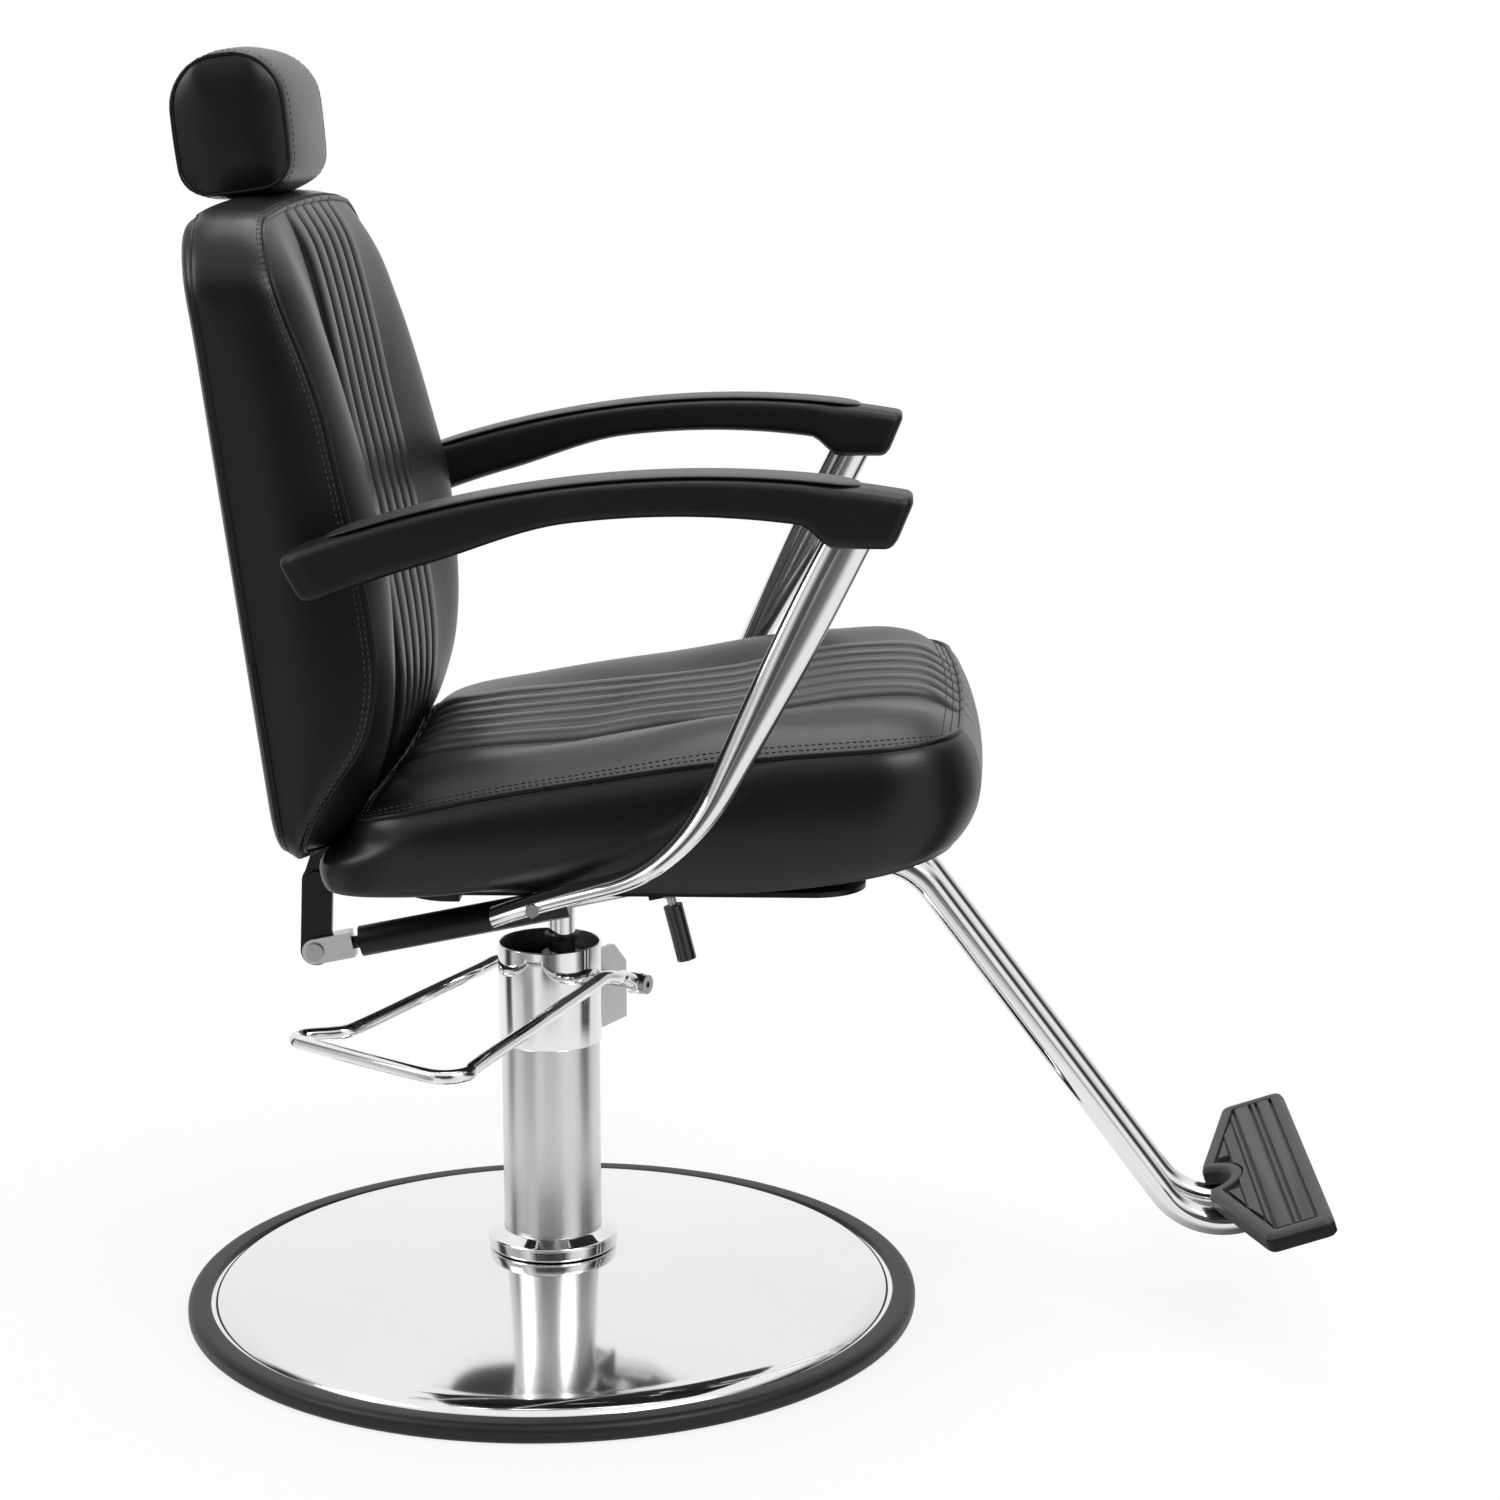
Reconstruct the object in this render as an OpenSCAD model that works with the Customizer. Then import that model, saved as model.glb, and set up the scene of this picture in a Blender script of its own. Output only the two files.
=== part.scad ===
// Reclining styling chair: pump base, swivel seat, reclining back and sliding headrest
// Millimetres, +Z up. The sitter faces -Y, and the floor is Z = 0 under the pump's axis

/* [Base] */
// Diameter of the base over its rubber trim
base_d = 600; // [520:10:700]
// Width of the rubber trim seen from above
trim_w = 20; // [16:1:26]
// Height of the rubber trim
trim_h = 15; // [14:1:20]
// Height of the base cover where it meets the collar
cover_h = 48; // [40:1:60]
// Sheet thickness of the base cover
cover_t = 3; // [2:0.5:4]
// Thickness of the steel ballast disc
ballast_t = 6; // [4:1:8]
// Diameter of the collar around the foot of the pump
collar_d = 106; // [100:1:130]
// Height of the collar's outer rim
collar_h = 12; // [8:1:16]

/* [Pump] */
// Outside diameter of the pump's lower tube
tube_d = 80; // [76:1:84]
// Wall of the pump's lower tube
tube_wall = 3; // [2:0.5:4]
// Outside diameter of the bright sleeve
sleeve_d = 84; // [82:1:96]
// Height of the sleeve's lower edge
sleeve_z = 224; // [200:1:232]
// Height of the sleeve's open top
sleeve_top = 306; // [298:1:312]
// Diameter of the ram that carries the seat
ram_d = 22; // [18:1:24]
// Distance of the ram in front of the pump's axis
ram_offset = 10; // [0:1:14]
// Outside diameter of the ram's own cylinder
ram_cylinder_d = 36; // [34:1:40]
// Bore of the ram's own cylinder
ram_bore_d = 30; // [27:1:31]
// Rise of the seat from its lowest place
lift_travel = 150; // [100:5:160]

/* [Pedal] */
// Turn of the pump bracket from straight ahead
pump_turn = 62; // [0:1:90]
// Diameter of the pedal's bar
pedal_bar_d = 11; // [8:0.5:12]
// Distance from the pump's axis to the pedal's closing bar
pedal_reach = 261; // [220:1:270]
// Width of the pedal across its two arms at the closing bar
pedal_w = 174; // [140:1:190]
// Distance from the pump's axis to the pedal's pivot
pivot_reach = 60; // [58:1:66]
// Height of the pedal's pivot
pivot_z = 262; // [255:1:268]
// Diameter of the pedal's pivot shaft
pivot_d = 10; // [8:0.5:12]

/* [Seat] */
// Width of the seat cushion
seat_w = 500; // [460:5:540]
// Depth of the seat cushion
seat_depth = 462; // [430:2:480]
// Reach of the seat in front of the ram
seat_reach = 331; // [310:1:350]
// Height of the seat cushion's flat underside
seat_z = 404; // [400:1:412]
// Height of the side seam at the back of the seat
seat_seam_back = 460; // [452:1:468]
// Height of the side seam at the front of the seat
seat_seam_front = 521; // [505:1:530]
// Rise of the bolsters above the side seam
seat_crown = 20; // [10:1:26]
// Thickness of the seat board
board_t = 9; // [7:1:10]
// Number of sewn channels in the seat and in the back
channels = 6; // [4:2:6]
// Width of the band of sewn channels
channel_band = 226; // [180:2:250]
// Depth of the grooves between the channels
groove = 5; // [2:0.5:6]

/* [Arms] */
// Distance from the seat cushion's side to the middle of an armrest
arm_gap = 35; // [33:1:45]
// Width of an armrest
arm_w = 54; // [46:1:56]
// Height of the highest point of an armrest
arm_top = 721; // [700:1:740]
// Length of an armrest
arm_length = 448; // [420:2:460]
// Wide side of the flat oval arm tube
arm_tube_w = 33; // [28:1:36]
// Thin side of the flat oval arm tube
arm_tube_t = 14; // [12:1:16]

/* [Footrest] */
// Diameter of the footrest tubes
foot_tube_d = 22; // [18:1:24]
// Distance between the two footrest tubes
foot_tube_gap = 60; // [50:1:70]
// Width of the foot plate
foot_w = 320; // [280:5:340]
// Length of the foot plate along its slope
foot_l = 86; // [80:1:96]
// Thickness of the foot plate
foot_t = 15; // [12:1:18]
// Slope of the foot plate
foot_slope = 18; // [10:1:24]
// Reach of the foot plate's rear edge in front of the ram
foot_reach = 526; // [510:2:540]
// Height of the foot plate's rear edge
foot_z = 108; // [100:1:130]

/* [Back] */
// Width of the back
back_w = 476; // [440:4:490]
// Height of the back's lower edge
back_z = 424; // [422:1:432]
// Height of the back above its lower edge
back_h = 478; // [440:2:520]
// Greatest thickness of the back
back_t = 113; // [100:1:120]
// Thickness of the rigid rear shell of the back
shell_t = 34; // [28:1:36]
// Distance of the back's lower rear edge behind the seat cushion
back_gap = 59; // [56:1:68]
// Lean of the back from upright
back_lean = 7.3; // [5:0.1:10]
// Height by which the bolsters stand in front of the channels
back_bolster = 20; // [8:1:24]

/* [Recline] */
// Distance of the recline hinge behind the seat cushion
hinge_gap = 48; // [44:1:53]
// Height of the recline hinge
hinge_z = 383; // [378:1:385]
// Diameter of the recline hinge pins
hinge_pin_d = 10; // [8:0.5:12]
// Distance from the middle of the seat to each hinge lever
hinge_x = 110; // [100:1:130]
// Thickness of the hinge levers
lever_t = 6; // [4:0.5:6]
// Length of the lever below the hinge
lever_l = 56; // [50:1:60]
// Diameter of the locking strut
strut_d = 24; // [20:1:26]
// Diameter of the strut's rod
strut_rod_d = 10; // [8:0.5:12]
// Reach of the strut's front pin in front of the ram
strut_front = 95; // [90:1:110]
// Height of the strut's front pin
strut_front_z = 383; // [378:1:383]
// Play of the strut's front pin in its eye
front_pin_play = 2.5; // [2.5:0.1:3]
// Length of the release lever's grip
grip_l = 44; // [36:1:50]
// Diameter of the release lever's grip
grip_d = 15; // [12:1:18]

/* [Headrest] */
// Width of the headrest
head_w = 176; // [150:2:240]
// Depth of the headrest
head_t = 90; // [80:1:100]
// Height of the headrest
head_h = 104; // [90:1:120]
// Diameter of the headrest posts
post_d = 10; // [8:1:12]
// Distance between the headrest posts
post_gap = 90; // [70:2:120]
// Length of the headrest posts below the headrest
post_l = 150; // [140:5:170]

/* [Hidden] */
$fn = 64;
// Radial play of a shaft that turns or slides in its bore
run_fit = 0.05;
// Gap between neighbouring pieces of one body
seat_fit = 0.2;
// Gap between pieces that move past each other
clear = 0.5;

// Shared shapes and curves

function lerp(a, b, t) = a + (b - a) * t;
function clamp(v, lo, hi) = max(lo, min(hi, v));
function ease(t) = let (c = clamp(t, 0, 1)) c * c * (3 - 2 * c);
// Round shoulder that grows from 0 at the end to 1 at distance 1
function shoulder(d, power) = let (c = clamp(d, 0, 1)) pow(1 - (1 - c) * (1 - c), power);
function mean(ring) = [for (k = [0:2]) [for (p = ring) p[k]] * [for (p = ring) 1] / len(ring)];
// Stations from 0 to 1 that lie close together at both ends
function station(i, n) = (1 - cos(180 * i / n)) / 2;
function signed_power(v, p) = sign(v) * pow(abs(v), p);
// Where the line p + k * d meets the line q + k * e
function meet(p, d, q, e) = p + d * ((q[0] - p[0]) * e[1] - (q[1] - p[1]) * e[0]) / (d[0] * e[1] - d[1] * e[0]);

// Closed skin over a list of rings that all have the same number of points
module loft(rings) {
    n = len(rings[0]);
    m = len(rings);
    points = [for (r = rings) each r, mean(rings[0]), mean(rings[m - 1])];
    sides = [
        for (i = [0:m - 2], j = [0:n - 1])
        let (a = i * n + j, b = i * n + (j + 1) % n)
        each [[a, a + n, b + n], [a, b + n, b]]
    ];
    first = [for (j = [0:n - 1]) [m * n, j, (j + 1) % n]];
    last = [for (j = [0:n - 1]) [m * n + 1, (m - 1) * n + (j + 1) % n, (m - 1) * n + j]];
    polyhedron(points, concat(sides, first, last));
}

module tube(r, wall, h) {
    difference() {
        cylinder(r = r, h = h);
        translate([0, 0, -1]) cylinder(r = r - wall, h = h + 2);
    }
}

// Flat shape with a corner radius below and another above
module rounded_panel(w, h, r_low, r_high) {
    for (side = [-1, 1]) {
        translate([side * (w / 2 - r_low), r_low]) circle(r = r_low);
        translate([side * (w / 2 - r_high), h - r_high]) circle(r = r_high);
    }
    translate([-w / 2, r_low]) square([w, h - r_low - r_high]);
    translate([-w / 2 + r_low, 0]) square([w - 2 * r_low, r_low + 1]);
    translate([-w / 2 + r_high, h - r_high - 1]) square([w - 2 * r_high, r_high + 1]);
}

// Cylinder along X from x0 to x1
module pin_x(d, x0, x1) {
    translate([x0, 0, 0]) rotate([0, 90, 0]) cylinder(d = d, h = x1 - x0);
}

// Flat shape of Y and Z drawn out along X from x0 to x1
module plate_x(x0, x1) {
    translate([x0, 0, 0]) rotate([90, 0, 90]) linear_extrude(x1 - x0) children();
}

// Plain hexagon bolt that points up, with its head below z = 0
module bolt(d, l) {
    cylinder(d = d, h = l);
    translate([0, 0, -0.65 * d]) cylinder(d = 1.8 * d, h = 0.65 * d, $fn = 6);
}

module mirrored() {
    children();
    mirror([1, 0, 0]) children();
}

// Places that follow the seat

seat_back_y = seat_depth - seat_reach;
arm_span = seat_w + 2 * arm_gap;
back_y = seat_back_y + back_gap;
hinge_y = seat_back_y + hinge_gap;

// Frames of the moving parts

module on_ram() {
    translate([0, -ram_offset, 0]) children();
}

// X runs along the pedal's pivot, -Y runs from the pump to its bracket
module on_pump() {
    rotate([0, 0, pump_turn]) children();
}

// Z runs up the leaning back, Y out of its rear face
module on_back() {
    on_ram() translate([0, back_y, back_z]) rotate([-back_lean, 0, 0]) children();
}

// Y runs up the foot plate's slope towards the seat, Z out of the tread
module on_foot_plate() {
    on_ram() translate([0, -foot_reach, foot_z]) rotate([-foot_slope, 0, 0]) children();
}

strut_rear = [hinge_y + 2.5, hinge_z - lever_l];
strut_vector = [-strut_front, strut_front_z] - strut_rear;
strut_length = norm(strut_vector);
strut_tilt = atan2(strut_vector[1], -strut_vector[0]);

// Z runs along the strut from its rear pin to its front pin
module on_strut() {
    on_ram() translate([-hinge_x, strut_rear[0], strut_rear[1]]) rotate([90 - strut_tilt, 0, 0]) children();
}

// Base

base_r = base_d / 2;
trim_lip = 3;
trim_lip_w = 8;
ballast_r = base_r - 8;
flange_z = trim_lip + ballast_t;
collar_z = cover_h + seat_fit;
tube_r = tube_d / 2;
foot_flange_r = 60;
foot_flange_t = 8;
base_bolt_d = 10;
base_bolt_pcd = 101;

module base_bolt_places() {
    for (a = [45:90:315]) rotate([0, 0, a]) translate([base_bolt_pcd / 2, 0, 0]) children();
}

module base_ballast() {
    color("dimgray") difference() {
        union() {
            translate([0, 0, trim_lip]) cylinder(r = ballast_r, h = ballast_t);
            cylinder(r = base_r - trim_w - trim_lip_w - seat_fit, h = flange_z);
        }
        base_bolt_places() translate([0, 0, -1]) cylinder(d = base_bolt_d + 0.4, h = flange_z + 2);
    }
}

cover_edge_r = base_r - trim_w - 2;
cover_shoulder_r = cover_edge_r - 18;
cover_shoulder_h = 9;
cover_steps = 12;

// Height of the cover's upper face at radius r inside its rolled shoulder
function cover_top(r) = let (t = (r - tube_r) / (cover_shoulder_r - tube_r))
    lerp(cover_h, flange_z + cover_t + cover_shoulder_h, pow(t, 1.35));
function cover_profile(drop) = [
    for (i = [0:cover_steps])
    let (r = lerp(tube_r + seat_fit, cover_shoulder_r, i / cover_steps)) [r, cover_top(r) - drop],
    for (a = [30:30:90])
    [cover_shoulder_r + (cover_edge_r - cover_shoulder_r) * sin(a),
     flange_z + cover_t + cover_shoulder_h * cos(a) - drop]
];

module base_cover() {
    upper = cover_profile(0);
    lower = cover_profile(cover_t);
    rim = [[ballast_r, flange_z + cover_t], [ballast_r, flange_z]];
    color("gainsboro") rotate_extrude($fn = 128)
        polygon(concat(upper, rim, [for (i = [len(lower) - 1:-1:0]) lower[i]]));
}

module base_edge_trim() {
    lip_z = flange_z + cover_t;
    round = 5;
    color("black") rotate_extrude($fn = 128) difference() {
        union() {
            translate([base_r - trim_w - trim_lip_w, 0]) square([trim_w + trim_lip_w - round, trim_lip]);
            translate([base_r - trim_w, 0]) square([trim_w - round, trim_h]);
            translate([base_r - trim_w, round]) square([trim_w, trim_h - 2 * round]);
            translate([base_r - round, round]) circle(r = round);
            translate([base_r - round, trim_h - round]) circle(r = round);
        }
        translate([0, trim_lip]) square([ballast_r + seat_fit / 2, lip_z - trim_lip]);
    }
}

module base_collar() {
    inner = tube_r + seat_fit;
    color("silver") rotate_extrude($fn = 96) polygon([
        [inner, collar_z], [collar_d / 2, collar_z], [collar_d / 2, collar_z + collar_h],
        [inner + 3, collar_z + collar_h + 5.5], [inner, collar_z + collar_h + 5.5]
    ]);
}

module base_bolts() {
    color("darkgray") base_bolt_places() translate([0, 0, flange_z + foot_flange_t])
        mirror([0, 0, 1]) bolt(base_bolt_d, flange_z + foot_flange_t - trim_lip - 0.5);
}

// Pump

tube_bore = tube_r - tube_wall;
tube_top = sleeve_top - 12;
guide_t = 24;
guide_top = tube_top - 4;
ram_r = ram_d / 2;
cylinder_z = flange_z + foot_flange_t;

module pump_tube() {
    color("lightgray") difference() {
        union() {
            translate([0, 0, flange_z]) cylinder(r = foot_flange_r, h = foot_flange_t);
            translate([0, 0, flange_z]) cylinder(r = tube_r, h = tube_top - flange_z);
        }
        translate([0, 0, cylinder_z]) cylinder(r = tube_bore, h = tube_top);
        base_bolt_places() translate([0, 0, flange_z - 1]) cylinder(d = base_bolt_d + 0.4, h = foot_flange_t + 2);
    }
}

module pump_sleeve() {
    color("silver") translate([0, 0, sleeve_z])
        tube(sleeve_d / 2, sleeve_d / 2 - tube_r - seat_fit / 2, sleeve_top - sleeve_z);
}

module ram_cylinder() {
    color("gray") on_ram() translate([0, 0, cylinder_z])
        tube(ram_cylinder_d / 2, (ram_cylinder_d - ram_bore_d) / 2, guide_top - guide_t - cylinder_z);
}

module ram_guide() {
    gland_h = 8;
    color("dimgray") difference() {
        union() {
            translate([0, 0, guide_top - guide_t]) cylinder(r = tube_bore - seat_fit / 2, h = guide_t);
            on_ram() translate([0, 0, guide_top - 1]) cylinder(r = ram_r + 5, h = gland_h);
        }
        on_ram() translate([0, 0, guide_top - guide_t - 1]) cylinder(r = ram_r + run_fit, h = guide_t + gland_h + 2);
    }
}

cheek_x = 22;
cheek_t = 5;
cheek_low = 226;
cheek_high = 292;
cheek_out = pivot_reach + 18;
cheek_chamfer = 18;
block_low = 228;
block_high = 244;
block_w = 2 * cheek_x - cheek_t - 2 * seat_fit;
plunger_d = 10;
plunger_reach = pivot_reach - 9;
crank_t = 8;
plunger_top = pivot_z - crank_t / 2 - clear;

// Two cheeks that stand on the sleeve and carry the pedal's shaft
module pump_bracket() {
    color("silver") on_pump() difference() {
        mirrored() plate_x(cheek_x - cheek_t / 2, cheek_x + cheek_t / 2) polygon([
            [0, cheek_low], [-cheek_out, cheek_low], [-cheek_out, cheek_high - cheek_chamfer],
            [-cheek_out + cheek_chamfer, cheek_high], [0, cheek_high]
        ]);
        translate([0, 0, cheek_low - 1]) cylinder(d = sleeve_d + seat_fit, h = cheek_high - cheek_low + 2);
        translate([0, -pivot_reach, pivot_z]) pin_x(pivot_d + 2 * run_fit, -cheek_x - cheek_t, cheek_x + cheek_t);
    }
}

module plunger_block() {
    color("gray") on_pump() difference() {
        translate([-block_w / 2, -cheek_out + 6, block_low]) cube([block_w, cheek_out - 6, block_high - block_low]);
        translate([0, 0, block_low - 1]) cylinder(d = sleeve_d + seat_fit, h = block_high - block_low + 2);
        translate([0, -plunger_reach, block_low - 1]) cylinder(d = plunger_d + 2 * run_fit, h = block_high);
    }
}

module pump_plunger() {
    color("lightgray") on_pump() translate([0, -plunger_reach, block_low + 1])
        cylinder(d = plunger_d, h = plunger_top - block_low - 1);
}

// Pedal

pedal_r = pedal_bar_d / 2;
pedal_elbow = [sleeve_d / 2 + 10, 0, pivot_z + 20];
pedal_hub = [pedal_elbow[0] - 6, -pivot_reach, pivot_z];
pedal_corner = 20;
pedal_tip = 11;
pedal_rise = 11;
pedal_sides = 16;
pedal_end_z = pivot_z + pedal_rise;

// Middle line of the near arm, from its pivot to its round corner
function pedal_near() = [
    pedal_hub + [0, 7.5, 4],
    pedal_hub + [-1, 22, 11],
    pedal_elbow + [0, -22, -5],
    pedal_elbow,
    pedal_elbow + [2, 20, -1.5],
    [pedal_w / 2 - 2, pedal_reach - pedal_corner - 8, pedal_end_z + 1],
    for (a = [0:22.5:90])
    [pedal_w / 2 - pedal_corner * (1 - cos(a)), pedal_reach - pedal_corner * (1 - sin(a)), pedal_end_z]
];

// Middle line of the far arm, which runs straight and then flares out to the closing bar
function pedal_far() = let (
    corner = [pedal_w / 2 - pedal_corner, pedal_reach - pedal_corner - pedal_tip]
) [
    pedal_hub + [0, 7.5, 4],
    pedal_hub + [-1, 22, 11],
    pedal_elbow + [0, -22, -5],
    pedal_elbow,
    pedal_elbow + [0, 20, -1],
    [pedal_elbow[0] + 1, corner[1] - 38, pedal_end_z + 1],
    [pedal_elbow[0] + 3, corner[1] - 28, pedal_end_z + 0.5],
    [pedal_elbow[0] + 10, corner[1] - 20, pedal_end_z],
    for (a = [-45:22.5:90]) [corner[0] + pedal_tip * cos(a), corner[1] + pedal_tip * sin(a), pedal_end_z]
];

function pedal_path() = let (near = pedal_near())
    concat(pedal_far(), [for (i = [len(near) - 1:-1:0]) [-near[i][0], near[i][1], near[i][2]]]);

// Ring of points around a path's point i, square to the path
function path_ring(path, i, r, sides) = let (
    before = path[max(i - 1, 0)],
    after = path[min(i + 1, len(path) - 1)],
    along = (after - before) / norm(after - before),
    across = cross(along, [0, 0, 1]) / norm(cross(along, [0, 0, 1])),
    over = cross(across, along)
) [for (k = [0:sides - 1]) path[i] + r * (cos(360 * k / sides) * across - sin(360 * k / sides) * over)];

module pedal_bar() {
    path = pedal_path();
    color("silver") on_pump() {
        loft([for (i = [0:len(path) - 1]) path_ring(path, i, pedal_r, pedal_sides)]);
        mirrored() translate(pedal_hub) difference() {
            pin_x(pivot_d + 8, -pedal_r, pedal_r);
            pin_x(pivot_d + seat_fit, -pedal_r - 1, pedal_r + 1);
        }
    }
}

// Shaft with the short crank that presses the plunger
module pedal_shaft() {
    reach = pedal_hub[0] + pedal_r;
    color("gray") on_pump() translate([0, -pivot_reach, pivot_z]) {
        pin_x(pivot_d, -reach, reach);
        translate([-7, 0, -crank_t / 2]) cube([14, pivot_reach - plunger_reach + 4, crank_t]);
    }
}

module pedal_end_bolts() {
    reach = pedal_hub[0] + pedal_r + seat_fit;
    head = 5;
    color("darkgray") on_pump() translate([0, -pivot_reach, pivot_z]) mirrored() difference() {
        pin_x(pivot_d + 6, reach, reach + head);
        translate([reach + 2, 0, 0]) rotate([0, 90, 0]) cylinder(d = 6, h = head, $fn = 6);
    }
}

// Ram

piston_z = cylinder_z + 5;
piston_h = 30;
ram_z = piston_z + piston_h;
ram_top = seat_z - board_t - 8;
seal_w = 5;
seal_depth = 2.5;

module ram_piston() {
    color("gray") on_ram() translate([0, 0, piston_z]) difference() {
        cylinder(d = ram_bore_d - 2 * run_fit, h = piston_h);
        translate([0, 0, (piston_h - seal_w) / 2])
            tube(ram_bore_d / 2 + 1, seal_depth + 1, seal_w);
    }
}

module piston_seal() {
    play = 0.1;
    color("black") on_ram() translate([0, 0, piston_z + (piston_h - seal_w) / 2 + play])
        tube(ram_bore_d / 2 - 2 * run_fit, seal_depth - 4 * run_fit, seal_w - 2 * play);
}

module ram() {
    color("silver") on_ram() translate([0, 0, ram_z]) cylinder(r = ram_r, h = ram_top - ram_z);
}

module ram_ring() {
    color("dimgray") on_ram() translate([0, 0, sleeve_top + 3]) difference() {
        cylinder(r = ram_r + 3, h = 4);
        translate([0, 0, -1]) cylinder(r = ram_r + seat_fit / 2, h = 6);
    }
}

// Seat frame

board_z = seat_z - board_t;
mount_w = 140;
mount_l = 200;
mount_t = 8;
hub_d = 48;
hub_l = 37;
arm_end_x = arm_span / 2 - 47;
board_w = 2 * (arm_end_x - clear) - arm_tube_w;
board_back = seat_back_y - 30;
board_front = seat_reach - 85;
board_step = 45;
board_edge_t = 4;
board_boss = 12;
foot_bolt_y = [-160, -210];
arm_bolt_d = 5;
arm_bolt_hole = arm_bolt_d + 2 * seat_fit;
arm_bolt_in = 60;
arm_bolt_gap = 1.2;
foot_bolt_d = 8;

module seat_mount() {
    color("dimgray") on_ram() difference() {
        union() {
            translate([-mount_w / 2, -mount_l / 2, board_z - mount_t]) cube([mount_w, mount_l, mount_t]);
            translate([0, 0, board_z - mount_t - hub_l]) cylinder(d = hub_d, h = hub_l + 1);
        }
        translate([0, 0, board_z - mount_t - hub_l - 1]) cylinder(r = ram_r + seat_fit / 2, h = hub_l + 1);
    }
}

// Board with a thin edge, which is thick again where the arm bolts enter it
module seat_board() {
    low = board_t - board_edge_t;
    color("black") on_ram() difference() {
        translate([0, board_back, board_z]) mirror([0, 1, 0]) linear_extrude(board_t)
            rounded_panel(board_w, board_back + board_front, 40, 40);
        difference() {
            translate([-board_w, -board_front - 1, board_z - 1])
                cube([2 * board_w, board_back + board_front - board_step, low + 1]);
            translate([-board_w / 2 + board_step, -board_front + board_step, board_z - 2])
                cube([board_w - 2 * board_step, board_back + board_front, board_t]);
            translate([-board_w, arm_bolt_y - board_boss, board_z - 2])
                cube([2 * board_w, 2 * board_boss, board_t]);
        }
        for (y = foot_bolt_y) translate([0, y, board_z - 1]) cylinder(d = foot_bolt_d + 0.4, h = board_t + 2);
        mirrored() at_arm_bolt() pin_x(arm_bolt_hole, board_w / 2 - arm_bolt_in - 1, board_w / 2 + 1);
    }
}

// Seat cushion

seat_stations = 29;
seat_back_round = 40;
seat_front_round = 52;
seat_corner = 60;
seat_rise = 34;
seat_arch = 40;

// Half-width left at distance d from an end with a corner radius
function corner_cut(d, r) = d >= r ? 0 : r - sqrt(r * r - (r - d) * (r - d));
// Side seam's height at t, from 0 at the back of the seat to 1 at the front
function seat_seam(t) = lerp(seat_seam_back, seat_seam_front, t) + seat_arch * t * (1 - t);
function seat_under(t) = seat_z + seat_rise * pow(clamp((t - 0.56) / 0.44, 0, 1), 2);

// Half of a channelled band, from its outer groove to the middle: offsets across and heights
function channel_half(band, rise) = [
    for (i = [0:channels / 2 - 1])
    let (outer = band / 2 * (1 - 2 * i / channels), step = band / channels)
    each [[outer, 0], [outer - step * 0.25, rise], [outer - step * 0.75, rise]]
];

// Half of a seat section as [across, height], from the underside to the middle of the top
function seat_half(t) = let (
    d_back = t * seat_depth,
    d_front = (1 - t) * seat_depth,
    full = min(shoulder(d_back / seat_back_round, 0.5), shoulder(d_front / seat_front_round, 0.5)),
    w = seat_w / 2 - corner_cut(min(d_back, d_front), seat_corner),
    middle = (seat_under(t) + seat_seam(t)) / 2,
    k = lerp(0.3, 1, full),
    low = lerp(middle, seat_under(t), k),
    seam = lerp(middle, seat_seam(t), k),
    crown = seat_crown * full,
    band = channel_band * w / (seat_w / 2)
) concat(
    [[w - 34, low], [w - 12, low + 7 * k], [w - 2, low + 22 * k], [w, lerp(low, seam, 0.55)],
     [w - 3, lerp(low, seam, 0.85)], [w - 11, seam], [w - 26, seam + crown * 0.45],
     [w - 52, seam + crown * 0.9], [w - 84, seam + crown]],
    [for (p = channel_half(band, groove * full)) [p[0], seam + crown * 0.75 - groove * full + p[1]]]
);

function seat_ring(t) = let (
    half = seat_half(t),
    n = len(half),
    y = lerp(seat_back_y, -seat_reach, t),
    top = half[n - 3][1]
) concat(
    [for (p = half) [p[0], y, p[1]]],
    [[0, y, top]],
    [for (i = [n - 1:-1:0]) [-half[i][0], y, half[i][1]]]
);

module seat_cushion() {
    color("#2a2a2c") on_ram() loft([for (i = [0:seat_stations]) seat_ring(station(i, seat_stations))]);
}

// Arms

arm_x = arm_span / 2;
arm_front = 279;
arm_peak_y = -135;
arm_arch = 0.4413 / arm_top;
arm_under_peak_y = -115;
arm_under_arch = 0.5725 / arm_top;
arm_thick = 28;
arm_boss = 17;
arm_boss_y = -188;
arm_stations = 24;
arm_sides = 16;

function arm_upper(y) = arm_top - arm_arch * pow(y - arm_peak_y, 2);
function arm_lower(y) = arm_top - arm_thick - arm_under_arch * pow(max(y, arm_boss_y) - arm_under_peak_y, 2)
    - arm_boss * ease((arm_boss_y - y) / 40);

// Section of the armrest at t, from 0 at its rear end to 1 at its tip
function arm_ring(t) = let (
    y = lerp(arm_length - arm_front - 8, -arm_front + 8, t),
    full = min(shoulder(t * arm_length / 22, 0.5), shoulder((1 - t) * arm_length / 10, 0.5)),
    wide = lerp(0.6, 1, full) * arm_w / 2,
    slant = lerp(0.45, -0.4, t) * (arm_upper(y) - arm_lower(y)) / 2
) [
    for (k = [0:arm_sides - 1])
    let (
        a = 360 * (k + 0.5) / arm_sides,
        up = lerp(0.45, 1, full) * signed_power(sin(a), 0.5),
        y_up = y + slant * up
    )
    [wide * signed_power(cos(a), 0.5), y_up, lerp(arm_lower(y_up), arm_upper(y_up), (1 + up) / 2)]
];

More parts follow.
